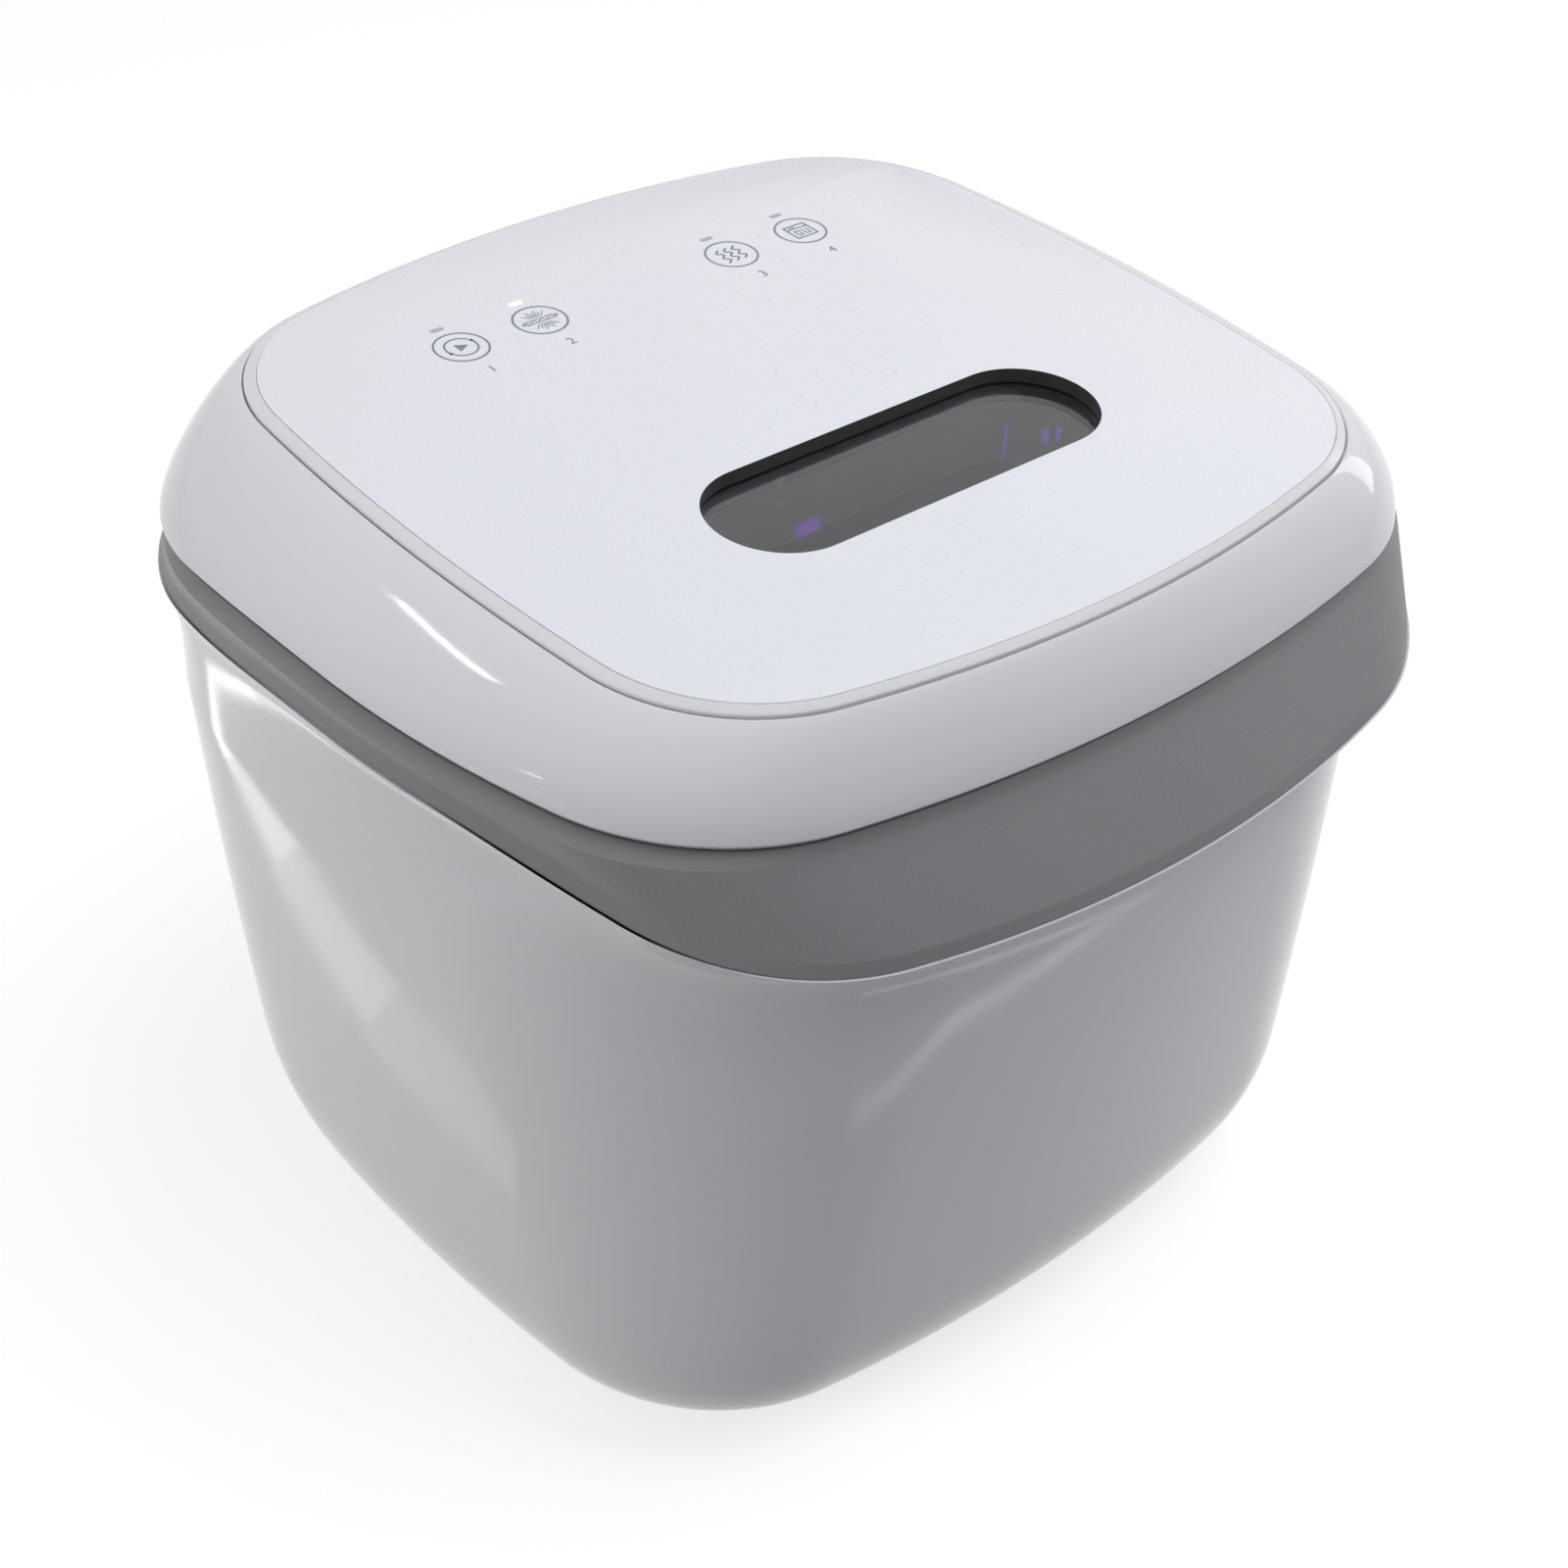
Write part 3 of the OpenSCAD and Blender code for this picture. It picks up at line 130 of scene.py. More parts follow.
bpy.ops.object.select_all(action="DESELECT")
bpy.ops.mesh.primitive_plane_add(size=9, location=(0, 0, 0))
floor = bpy.context.object
floor.name = "floor"
floor_paint = bpy.data.materials.new("floor white")
tree = node_tree(floor_paint)
floor_lit = tree.nodes.new("ShaderNodeBsdfDiffuse")
floor_lit.inputs["Color"].default_value = (0.42, 0.42, 0.43, 1)
floor_glow = tree.nodes.new("ShaderNodeEmission")
floor_glow.inputs["Strength"].default_value = 0.72
floor_sum = tree.nodes.new("ShaderNodeAddShader")
floor_plain = tree.nodes.new("ShaderNodeBsdfDiffuse")
floor_plain.inputs["Color"].default_value = (0.30, 0.30, 0.30, 1)
floor_mix = tree.nodes.new("ShaderNodeMixShader")
floor_out = tree.nodes.new("ShaderNodeOutputMaterial")
tree.links.new(floor_lit.outputs[0], floor_sum.inputs[0])
tree.links.new(floor_glow.outputs[0], floor_sum.inputs[1])
tree.links.new(seen_plainly(tree), floor_mix.inputs["Fac"])
tree.links.new(floor_plain.outputs[0], floor_mix.inputs[1])
tree.links.new(floor_sum.outputs[0], floor_mix.inputs[2])
tree.links.new(floor_mix.outputs[0], floor_out.inputs["Surface"])
floor.data.materials.append(floor_paint)


def softbox(name, place, aim, width, depth, power, colour=(1, 1, 1), mirrored=False):
    """A lamp that only lights surfaces, or one that polished surfaces mirror as well."""
    lamp = bpy.data.lights.new(name, "AREA")
    lamp.shape = "RECTANGLE"
    lamp.size = width
    lamp.size_y = depth
    lamp.energy = power
    lamp.color = colour
    stand = bpy.data.objects.new(name, lamp)
    stand.location = place
    stand.rotation_euler = (Vector(aim) - Vector(place)).to_track_quat("-Z", "Y").to_euler()
    stand.visible_glossy = mirrored
    bpy.context.scene.collection.objects.link(stand)
    return stand


softbox("overhead softbox", (0.42, -0.32, 1.5), (0, 0, 0.2), 1.3, 1.3, 14.4)
softbox("window at the left", (-1.5, 0.35, 0.42), (0, 0, 0.13), 0.5, 0.7, 8.2, (1, 0.99, 0.97))
softbox("fill at the front", (1.0, -1.1, 1.1), (0, 0, 0.15), 0.8, 0.8, 1.4)
softbox("strip at the right", (1.3, -0.15, 0.5), (0, 0, 0.15), 0.22, 0.7, 0.9, mirrored=True)
softbox("tube lamp behind", (-0.80, 0.88, 1.2), (-0.13, -0.03, 0.24), 0.32, 0.018, 0.5,
        mirrored=True)
softbox("small window at the left", (-1.47, 0.35, 0.36), (-0.14, -0.07, 0.23), 0.06, 0.05, 0.06,
        (0.92, 0.95, 1.0), mirrored=True)
# Lit cards lie on the table beside the box. Only its polished surfaces mirror them.
CARD_Z = 0.004
for name, place, width, depth, power in (
        ("bright card at the left", (-0.203, 0.27), 0.020, 0.06, 0.0110),
        ("card at the left", (-0.203, 0.205), 0.022, 0.07, 0.0075),
        ("dim card at the left", (-0.201, 0.125), 0.026, 0.09, 0.0060),
        ("faint card at the left", (-0.199, 0.030), 0.030, 0.10, 0.0036),
        ("card at the front", (0.09, -0.252), 0.32, 0.009, 0.014)):
    card = softbox(name, (*place, CARD_Z), (*place, 1.0), width, depth, power, mirrored=True)
    card.rotation_euler = (math.pi, 0, 0)
    card.visible_camera = card.visible_diffuse = card.visible_transmission = False

# ---- Body moulding -------------------------------------------------------------------
# The casing is one deep injection moulding of glossy white plastic. Its walls draw in
# towards the floor, and the front is scooped out under the lip of the collar.
mm = 0.001
SIDE, CORNER, END = 10, 26, 10      # steps along a side, round a corner, along an end
QUARTER = SIDE + CORNER + END
TOTAL = 247.0                       # height of the control panel's top
EDGE_DROP = 37.3                    # fall from there to the collar's edge at the sides
LIP_DROP, LIP_START, LIP_RUN = 19.9, -39.5, 136.9   # further fall to the front lip
REAR_DROP, REAR_RUN = 11.0, 100.0   # further fall to the back
BAND = 3.9                          # height of the collar's band
FLARE = 1.3                         # outward flare of the band
RIM_GAP = 0.04                      # gap between the casing's rim and the band
RIM_OUT = 0.3                       # reach of the casing's rim beyond the band
WALL = 2.6
BODY_Y, LIP_Y = 5.5, 10.5           # middles of the two forms, front to back
# A form is a half width, a depth to the front and one to the back, the radii of the
# bowed sides (front, back) and ends (front, back), and those of the corners.
LIP = (150.1, 156.5, 131.3, 300.0, 323.0, 362.4, 500.0, 68.7, 78.8)
BODY = (151.0, 141.8, 137.0, 520.0, 520.0, 500.0, 500.0, 110.0, 91.0)
BODY_TOP, BODY_LOW, COVE_END = TOTAL - EDGE_DROP - BAND, 3.0, 165.0
TAPER_SIDE, TAPER_FRONT, TAPER_REAR, TAPER_CORNER = 16.1, 8.2, 21.7, 54.0
FOOT_RISE, FOOT_ROUND = 48.8, 28.2  # height and reach of the round edge at the floor


def drawn_in(form, by):
    return [v - by for v in form]


def corner_centre(a, b, side, end, corner):
    c1, c2 = np.array([a - side, 0.0]), np.array([0.0, b - end])
    r1, r2 = side - corner, end - corner
    gap = np.linalg.norm(c2 - c1)
    along = (c2 - c1) / gap
    x = (r1 * r1 - r2 * r2 + gap * gap) / (2 * gap)
    h = math.sqrt(max(0.0, r1 * r1 - x * x))
    normal = np.array([-along[1], along[0]])
    return c1 + along * x + (h if normal.sum() > 0 else -h) * normal


def quarter(a, b, side, end, corner):
    """From the middle of the side to the middle of the end, tangent arc to arc."""
    cc = corner_centre(a, b, side, end, corner)
    c1, c2 = np.array([a - side, 0.0]), np.array([0.0, b - end])
    t1 = math.atan2(cc[1], cc[0] - c1[0])
    t2 = math.atan2(cc[1] - c2[1], cc[0])
    points = []
    for centre, radius, start, stop, steps in (
            (c1, side, 0.0, t1, SIDE), (cc, corner, t1, t2, CORNER),
            (c2, end, t2, math.pi / 2, END)):
        for i in range(steps):
            t = start + (stop - start) * i / steps
            points.append((centre[0] + radius * math.cos(t), centre[1] + radius * math.sin(t)))
    return points + [(0.0, b)]


def outline(form, middle):
    """A rounded rectangle with bowed sides, anticlockwise, as (x, y) rows in millimetres."""
    f = form
    rear = np.array(quarter(f[0], f[2], f[4], f[6], f[8]))
    fore = np.array(quarter(f[0], f[1], f[3], f[5], f[7]))
    rows = np.concatenate((
        rear[:QUARTER], rear[QUARTER:0:-1] * (-1, 1),
        -fore[:QUARTER], fore[QUARTER:0:-1] * (1, -1)))
    rows[:, 1] += middle
    return rows


def ring(form, middle, height):
    """An outline at a height, which may be a function of how far back a point is."""
    rows = outline(form, middle)
    z = [height(y) for y in rows[:, 1]] if callable(height) else [height] * len(rows)
    return np.column_stack((rows, z))


def fall(drop, u):
    t = min(1.0, max(0.0, u))
    return drop * t * t * (3 - 2 * t)


def collar_edge(y):
    lip_fall = fall(LIP_DROP, (LIP_START - y) / LIP_RUN)
    return TOTAL - EDGE_DROP - lip_fall - fall(REAR_DROP, y / REAR_RUN)


def rim_height(y):
    """Height of the casing's rim, close under the collar's band."""
    return collar_edge(y) - BAND - RIM_GAP


def body_form(z, t=0.0):
    """The casing's form at a height, drawn in by the wall t."""
    s = max(0.0, (BODY_TOP - z) / (BODY_TOP - BODY_LOW))
    w = s ** 1.3
    v = max(0.0, (BODY_LOW + FOOT_RISE - z) / FOOT_RISE)
    r = FOOT_ROUND * (1 - math.sqrt(max(0.0, 1 - v ** 2.2))) + t
    f = drawn_in(BODY, t)
    rear = BODY[2] - TAPER_REAR * w - r
    return [BODY[0] - TAPER_SIDE * w - r, BODY[1] - TAPER_FRONT * w - r, rear,
            f[3], f[4], f[5], f[6], f[7] - TAPER_CORNER * s, min(f[8], 0.8 * rear)]


def curve_through(table, u):
    """A smooth rise through a table of (place, value)."""
    xs, ys = np.array(table).T
    slopes = np.gradient(ys, xs)
    k = int(np.clip(np.searchsorted(xs, u) - 1, 0, len(xs) - 2))
    h = xs[k + 1] - xs[k]
    t = (u - xs[k]) / h
    return ((2 * t ** 3 - 3 * t ** 2 + 1) * ys[k] + (t ** 3 - 2 * t ** 2 + t) * h * slopes[k]
            + (-2 * t ** 3 + 3 * t ** 2) * ys[k + 1] + (t ** 3 - t ** 2) * h * slopes[k + 1])


def moulding(name, rings, closed=True):
    """A ring of edges, extruded once for each further ring, set in place and bridged."""
    bpy.ops.object.select_all(action="DESELECT")
    bpy.ops.mesh.primitive_circle_add(vertices=len(rings[0]), radius=0.1, location=(0, 0, 0))
    piece = bpy.context.object
    piece.name = piece.data.name = name
    bpy.ops.object.mode_set(mode="EDIT")
    bpy.ops.mesh.select_mode(type="EDGE")
    bpy.ops.mesh.select_all(action="SELECT")
    for _ in rings[1:]:
        bpy.ops.mesh.extrude_edges_move()
    bpy.ops.object.mode_set(mode="OBJECT")
    piece.data.vertices.foreach_set("co", (np.concatenate(rings) * mm).ravel())
    bpy.ops.object.mode_set(mode="EDIT")
    bpy.ops.mesh.select_all(action="DESELECT")
    bpy.ops.mesh.select_non_manifold()
    if closed:
        bpy.ops.mesh.bridge_edge_loops()
    else:
        bpy.ops.mesh.fill_holes(sides=0)
    bpy.ops.mesh.select_all(action="SELECT")
    bpy.ops.mesh.normals_make_consistent(inside=False)
    if bmesh.from_edit_mesh(piece.data).calc_volume(signed=True) < 0:
        bpy.ops.mesh.flip_normals()
    bpy.ops.object.mode_set(mode="OBJECT")
    return piece


def picked(*pieces):
    """Selects only these pieces, with the first one active."""
    bpy.ops.object.select_all(action="DESELECT")
    for piece in pieces:
        piece.select_set(True)
    bpy.context.view_layer.objects.active = pieces[0]
    return pieces[0]


def smoothed(piece, degrees=35):
    picked(piece)
    bpy.ops.object.shade_smooth_by_angle(angle=math.radians(degrees))
    return piece


def applied(piece, kind, **settings):
    """Adds a modifier with these settings and applies it."""
    picked(piece)
    modifier = piece.modifiers.new(kind.lower(), kind)
    for key, value in settings.items():
        setattr(modifier, key, value)
    bpy.ops.object.modifier_apply(modifier=modifier.name)
    return piece


def block(low, high):
    """A cutting block between two corners, in millimetres."""
    low, high = Vector(low) * mm, Vector(high) * mm
    bpy.ops.object.select_all(action="DESELECT")
    bpy.ops.mesh.primitive_cube_add(size=1, location=(low + high) / 2, scale=high - low)
    bpy.ops.object.transform_apply(location=True, rotation=True, scale=True)
    return bpy.context.object


def carved(piece, cutter, operation="DIFFERENCE"):
    applied(piece, "BOOLEAN", object=cutter, operation=operation, solver="EXACT")
    bpy.data.objects.remove(cutter)
    return piece


def mixed(a, b, t):
    return a + (b - a) * t


def rounded(rings, radii, steps=4):
    """The rings with the corner at each one rounded by its radius, along every column."""
    made = []
    count = len(rings)
    for i, (here, radius) in enumerate(zip(rings, radii)):
        if not radius:
            made.append(here)
            continue
        to_last, to_next = rings[i - 1] - here, rings[(i + 1) % count] - here
        len_last = np.linalg.norm(to_last, axis=1)[:, None]
        len_next = np.linalg.norm(to_next, axis=1)[:, None]
        start = here + to_last / len_last * np.minimum(radius, 0.45 * len_last)
        stop = here + to_next / len_next * np.minimum(radius, 0.45 * len_next)
        for k in range(steps + 1):
            t = k / steps
            made.append((1 - t) ** 2 * start + 2 * t * (1 - t) * here + t * t * stop)
    return made


def surface(name, colour, rough, metallic=0.0, ior=1.5):
    """A new material with its shader and the object's own coordinates."""
    material = bpy.data.materials.new(name)
    tree = node_tree(material)
    shader = tree.nodes.new("ShaderNodeBsdfPrincipled")
    shader.inputs["Base Color"].default_value = (*colour, 1)
    shader.inputs["Roughness"].default_value = rough
    shader.inputs["Metallic"].default_value = metallic
    shader.inputs["IOR"].default_value = ior
    out = tree.nodes.new("ShaderNodeOutputMaterial")
    tree.links.new(shader.outputs[0], out.inputs["Surface"])
    place = tree.nodes.new("ShaderNodeTexCoord").outputs["Object"]
    return material, tree, shader, place


def grain(tree, place, scale, detail=3.0, stretch=None):
    if stretch:
        mapping = tree.nodes.new("ShaderNodeMapping")
        mapping.inputs["Scale"].default_value = stretch
        tree.links.new(place, mapping.inputs["Vector"])
        place = mapping.outputs[0]
    noise = tree.nodes.new("ShaderNodeTexNoise")
    noise.inputs["Scale"].default_value = scale
    noise.inputs["Detail"].default_value = detail
    tree.links.new(place, noise.inputs["Vector"])
    return noise.outputs["Fac"]


def ranged(tree, value, low, high, start=0.3, stop=0.7):
    span = tree.nodes.new("ShaderNodeMapRange")
    for key, number in zip(("From Min", "From Max", "To Min", "To Max"), (start, stop, low, high)):
        span.inputs[key].default_value = number
    tree.links.new(value, span.inputs["Value"])
    return span.outputs[0]


def tinted(tree, shader, value, dark, light):
    """Lets the colour drift between two tints."""
    blend = tree.nodes.new("ShaderNodeMix")
    blend.data_type = "RGBA"
    blend.inputs["A"].default_value = (*dark, 1)
    blend.inputs["B"].default_value = (*light, 1)
    tree.links.new(value, blend.inputs["Factor"])
    tree.links.new(blend.outputs["Result"], shader.inputs["Base Color"])


def embossed(tree, shader, value, depth, strength=1.0):
    bump = tree.nodes.new("ShaderNodeBump")
    bump.inputs["Strength"].default_value = strength
    bump.inputs["Distance"].default_value = depth
    tree.links.new(value, bump.inputs["Height"])
    tree.links.new(bump.outputs[0], shader.inputs["Normal"])


def glossy_plastic(name, colour, rough=0.12, drift=0.012, orange_peel=0.000006, smear=(0.85, 1.35),
                   mottle_scale=9.0):
    """Polished moulded plastic: a faint flow mottle, finger smears and orange peel."""
    material, tree, shader, place = surface(name, colour, rough)
    mottle = grain(tree, place, mottle_scale, 4.0)
    tinted(tree, shader, ranged(tree, mottle, 0.0, 1.0),
           [c * (1 - drift) for c in colour], [min(1, c * (1 + drift)) for c in colour])
    smears = grain(tree, place, 2.9 * mottle_scale, 5.0, (1.0, 1.0, 0.35))
    smeared = ranged(tree, smears, rough * smear[0], rough * smear[1])
    tree.links.new(smeared, shader.inputs["Roughness"])
    embossed(tree, shader, grain(tree, place, 240.0, 2.0), orange_peel)
    return material


def painted(piece, *materials):
    """Gives a piece or a CAD node these materials in place of its own."""
    piece.data.materials.clear()
    for material in materials:
        piece.data.materials.append(material)
    return piece


def stands_for(piece, node, body):
    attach(piece, body)
    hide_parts(node)
    return piece


top_ring = ring(drawn_in(LIP, -FLARE - RIM_OUT), LIP_Y, rim_height)
cove_ring = ring(body_form(COVE_END), BODY_Y, COVE_END)
cove_table = ((0, 0), (0.06, 0.34), (0.16, 0.6), (0.3, 0.8), (0.5, 0.93), (0.75, 0.99), (1, 1))
outside = []
for i in range(18):
    down = (i / 18) ** 1.7
    drawn = mixed(top_ring, cove_ring, curve_through(cove_table, down))
    drawn[:, 2] = mixed(top_ring[:, 2], COVE_END, down)
    outside.append(drawn)
for i in range(41):
    z = BODY_LOW + (COVE_END - BODY_LOW) * (1 - i / 40) ** 1.9
    outside.append(ring(body_form(z), BODY_Y, z))
floor_ring = ring(body_form(BODY_LOW, 6), BODY_Y, BODY_LOW)
inside = [floor_ring, floor_ring + (0, 0, WALL)]
for k in (0.02, 0.05, 0.08, 0.12, 0.18, 0.25, 0.34, 0.46, 0.6, 0.8, 1.0):
    z = BODY_LOW + WALL + (COVE_END - BODY_LOW - WALL) * k
    inside.append(ring(body_form(z, WALL), BODY_Y, z))
inner_rim = ring(body_form(BODY_TOP, WALL + 2), BODY_Y, BODY_TOP)
inner_rim[:, 2] = ring(LIP, LIP_Y, rim_height)[:, 2]
body_rings = outside + inside + [inner_rim]
casing = moulding("casing", rounded(body_rings, [0.35] + [0] * (len(body_rings) - 1), 3))

BAY_Y, REAR = 85.2, 156.0           # back face of the tub, and a line behind the casing
DOOR_W, DOOR_LOW, DOOR_TOP = 34.0, 87.0, 153.0        # half width, foot and head
LOUVRE_W, LOUVRE_LOW, LOUVRE_TOP = 42.0, 167.0, 185.0
INLET_LOW, INLET_TOP = (27.2, 39.2), (52.8, 56.8)


def through_rear(half, low, top, clear=0.0):
    """A block across the casing's back wall, larger all round by a clearance."""
    return block((-half - clear, BAY_Y + 20, low - clear), (half + clear, REAR, top + clear))


skin_copies = []
for name in ("filter_door", "exhaust_louvre"):
    skin = casing.copy()
    skin.data = casing.data.copy()
    skin.name = skin.data.name = name
    bpy.context.scene.collection.objects.link(skin)
    skin_copies.append(skin)
carved(casing, through_rear(DOOR_W, DOOR_LOW, DOOR_TOP, 0.4))
carved(casing, through_rear(LOUVRE_W, LOUVRE_LOW, LOUVRE_TOP, 0.2))
carved(casing, block((INLET_LOW[0], BAY_Y + 6, INLET_LOW[1]), (INLET_TOP[0], REAR, INLET_TOP[1])))
smoothed(casing)
white_plastic = glossy_plastic("polished white plastic", (0.63, 0.635, 0.655), 0.11)
painted(casing, white_plastic)
stands_for(casing, "outer_shell", "case")

# ---- Filter door and exhaust louvre --------------------------------------------------
# At the back a door of the same white plastic slides out with the air filter, and a
# fixed louvre above it lets the warm air out. Both follow the casing's curved wall.
FILTER_Y = 120.5                   # inner face of the filter's tray
FAN_Z = 120.0
door, louvre = skin_copies
carved(door, through_rear(DOOR_W, DOOR_LOW, DOOR_TOP), "INTERSECT")
carved(louvre, through_rear(LOUVRE_W, LOUVRE_LOW, LOUVRE_TOP), "INTERSECT")
tray = block((-33, FILTER_Y, DOOR_LOW + 1), (33, FILTER_Y + 9, DOOR_TOP - 1))
carved(tray, block((-31, FILTER_Y - 1, DOOR_LOW + 3), (31, FILTER_Y + 12, DOOR_TOP - 3)))
for x in (-30, 30):
    tab = block((x - 2, FILTER_Y + 6, FAN_Z - 4), (x + 2, FILTER_Y + 12.5, FAN_Z + 4))
    carved(tray, tab, "UNION")
carved(door, tray, "UNION")
for i in range(-4, 5):
    z = FAN_Z + i * 6
    carved(door, block((-24, BAY_Y + 26, z - 1.4), (24, REAR, z + 1.4)))
for i in range(-8, 9):
    x = i * 4.6
    slit = block((x - 1.1, BAY_Y + 20, LOUVRE_LOW + 3), (x + 1.1, REAR, LOUVRE_TOP - 3))
    carved(louvre, slit)


def eased(piece, width, angle=50):
    """The piece's sharp edges bevelled by a width in millimetres."""
    return applied(piece, "BEVEL", width=width * mm, segments=2, limit_method="ANGLE",
                   angle_limit=math.radians(angle))


for piece, node, body in ((door, "filter_cover", "filter"), (louvre, "exhaust_grille", "case")):
    smoothed(eased(piece, 0.35))
    painted(piece, white_plastic)
    stands_for(piece, node, body)

# ---- Collar --------------------------------------------------------------------------
# A separate moulding of grey spark-textured plastic crowns the casing. It carries the
# lid, droops to a broad lip in front, and ends in a band that overhangs the casing.
DECK_TOP, DECK_LOW, SKIRT = 220.8, 217.8, 12
CROWN = 0.35                        # rise of the shelf's middle
LID_Y, LID_EDGE, LID_FALL = 9.7, TOTAL - 26.0, 7.0
LID = (150.7, 139.4, 126.9, 295.0, 519.0, 428.0, 380.0, 65.0, 75.0)
CHAMBER_Y = -13.0
CHAMBER = (116.0, 97.0, 97.0, 650.0, 650.0, 650.0, 650.0, 42.0, 42.0)
NECK = (153.1, 142.1, 124.6, 331.0, 344.0, 458.0, 400.0, 62.0, 88.0)
NECK_Y, NECK_H, GAP, STEP = 13.4, 3.4, 1.0, 6.2
mouth = drawn_in(CHAMBER, -2.2)
band_form = drawn_in(LIP, 0.4 - FLARE)


def lid_rim(y):
    return LID_EDGE - fall(LID_FALL, y / REAR_RUN)


def under_lid(form, middle, drop):
    return ring(form, middle, lambda y: lid_rim(y) - drop)


def along_edge(form, drop):
    return ring(form, LIP_Y, lambda y: collar_edge(y) - drop)


neck_foot = under_lid(NECK, NECK_Y, GAP + NECK_H)
shelf_edge = along_edge(LIP, 0)
collar_rings = [
    (ring(mouth, CHAMBER_Y, DECK_TOP - SKIRT), 0), (ring(mouth, CHAMBER_Y, DECK_TOP - 1), 0),
    (ring(drawn_in(mouth, -1), CHAMBER_Y, DECK_TOP), 0),
    (ring(drawn_in(LID, STEP + 0.5), LID_Y, DECK_TOP), 0),
    (under_lid(drawn_in(LID, STEP), LID_Y, GAP), 0),
    (under_lid(drawn_in(LID, 1.5), LID_Y, GAP + 0.3), 0.5),
    (neck_foot, 0.3)]
for k in range(1, 8):
    t = k / 8
    row = mixed(neck_foot, shelf_edge, t)
    row[:, 2] += CROWN * math.sin(math.pi * t)
    collar_rings.append((row, 0))
collar_rings += [
    (shelf_edge, 0.45), (along_edge(band_form, BAND), 0.2),
    (along_edge(drawn_in(band_form, 3), BAND), 0), (along_edge(drawn_in(LIP, 3.6), 2), 0),
    (under_lid(drawn_in(NECK, 6), NECK_Y, GAP + NECK_H + 1), 0),
    (ring(drawn_in(LID, 9.5), LID_Y, DECK_LOW), 0),
    (ring(drawn_in(mouth, -3), CHAMBER_Y, DECK_LOW), 0),
    (ring(drawn_in(mouth, -2.4), CHAMBER_Y, DECK_TOP - SKIRT), 0)]
collar = moulding("collar_moulding", rounded(*zip(*collar_rings)))
HINGE_X, HINGE_Y, HINGE_Z, NOTCH_Y = 30.0, 136.0, 205.0, 123.8
for side in (-1, 1):
    low, out = HINGE_Z - 6.3, HINGE_Y + 2.8
    pocket = [(NOTCH_Y - 1.5, low), (out, low), (out - 4.2, low + 10.7), (out - 7, low + 13.8),
              (out - 9.2, low + 14.2), (out - 9.2, DECK_TOP - 1.8), (NOTCH_Y - 1.5, DECK_TOP - 1.8)]
    ends = [np.array([(side * HINGE_X + x, y, z) for y, z in pocket]) for x in (-16.5, 16.5)]
    carved(collar, moulding("pocket", ends, closed=False), "UNION")
    carved(collar, block((side * HINGE_X - 15, NOTCH_Y, HINGE_Z - 4.8),
                         (side * HINGE_X + 15, REAR, DECK_TOP + 5)))
smoothed(collar, 30)


def textured_plastic(name, colour, rough=0.55, grain_scale=1500.0, depth=0.00003, drift=0.03):
    """Spark-textured moulded plastic with a fine even grain and a little handling shine."""
    material, tree, shader, place = surface(name, colour, rough)
    sparks = grain(tree, place, grain_scale, 2.0)
    mottle = grain(tree, place, 14.0, 4.0)
    tinted(tree, shader, ranged(tree, sparks, 0.0, 1.0),
           [c * (1 - drift) for c in colour], [min(1, c * (1 + drift)) for c in colour])
    tree.links.new(ranged(tree, mottle, rough * 0.9, rough * 1.12), shader.inputs["Roughness"])
    embossed(tree, shader, sparks, depth, 0.6)
    return material


grey_plastic = textured_plastic("spark-textured grey plastic", (0.21, 0.213, 0.22), 0.5)
painted(collar, grey_plastic)
stands_for(collar, "collar", "case")

# ---- Lid moulding --------------------------------------------------------------------
# The lid's shell is polished white like the casing. It bulges out from the panel, turns
# straight down at its edge, and its rim dips towards the hinges at the back.
PANEL = (119.6, 114.9, 114.9, 670.0, 670.0, 365.0, 365.0, 46.0, 46.0)
PANEL_Y, PANEL_LOW = 1.3, TOTAL - 4.0
TRIM_W, TRIM_FRONT, GROOVE_W = 3.4, 0.9, 0.5   # the trim is narrower over the front edge
GROOVE_Z, BULGE = TOTAL - 2.0, 1.28


def around_panel(by):
    form = drawn_in(PANEL, -by)
    form[1] -= TRIM_FRONT
    return form


def lid_side(degrees, inward):
    t = math.radians(degrees)
    u = math.sin(t) ** (2 / BULGE)
    v = 1 - max(0.0, math.cos(t)) ** (2 / BULGE)
    start = around_panel(TRIM_W + GROOVE_W + 0.1)
    form = [mixed(a, b, u) - inward for a, b in zip(start, LID)]
    return ring(form, mixed(PANEL_Y, LID_Y, u),
                lambda y: mixed(GROOVE_Z, lid_rim(y) + 1.2, v) - inward * 0.6)


groove_form = around_panel(TRIM_W + GROOVE_W)
lid_rings = [ring(drawn_in(PANEL, 4), PANEL_Y, PANEL_LOW), ring(groove_form, PANEL_Y, PANEL_LOW),
             ring(groove_form, PANEL_Y, GROOVE_Z - 0.3)]
lid_rings += [lid_side(t, 0) for t in np.linspace(4, 90, 30)]
lid_rings += [under_lid(drawn_in(LID, 0.1), LID_Y, -1.15), under_lid(drawn_in(LID, 0.85), LID_Y, 0),
              under_lid(drawn_in(LID, WALL), LID_Y, 0)]
lid_rings += [lid_side(t, WALL) for t in (83, 76, 68, 59, 50, 41, 32, 23, 14)]
lid_rings += [ring(drawn_in(PANEL, 4), PANEL_Y, PANEL_LOW - 2.4)]
lid = moulding("lid_moulding", lid_rings)
smoothed(lid, 25)
lid_plastic = glossy_plastic("polished lid plastic", (0.70, 0.705, 0.725), 0.065)
painted(lid, lid_plastic)
stands_for(lid, "lid_shell", "lid")

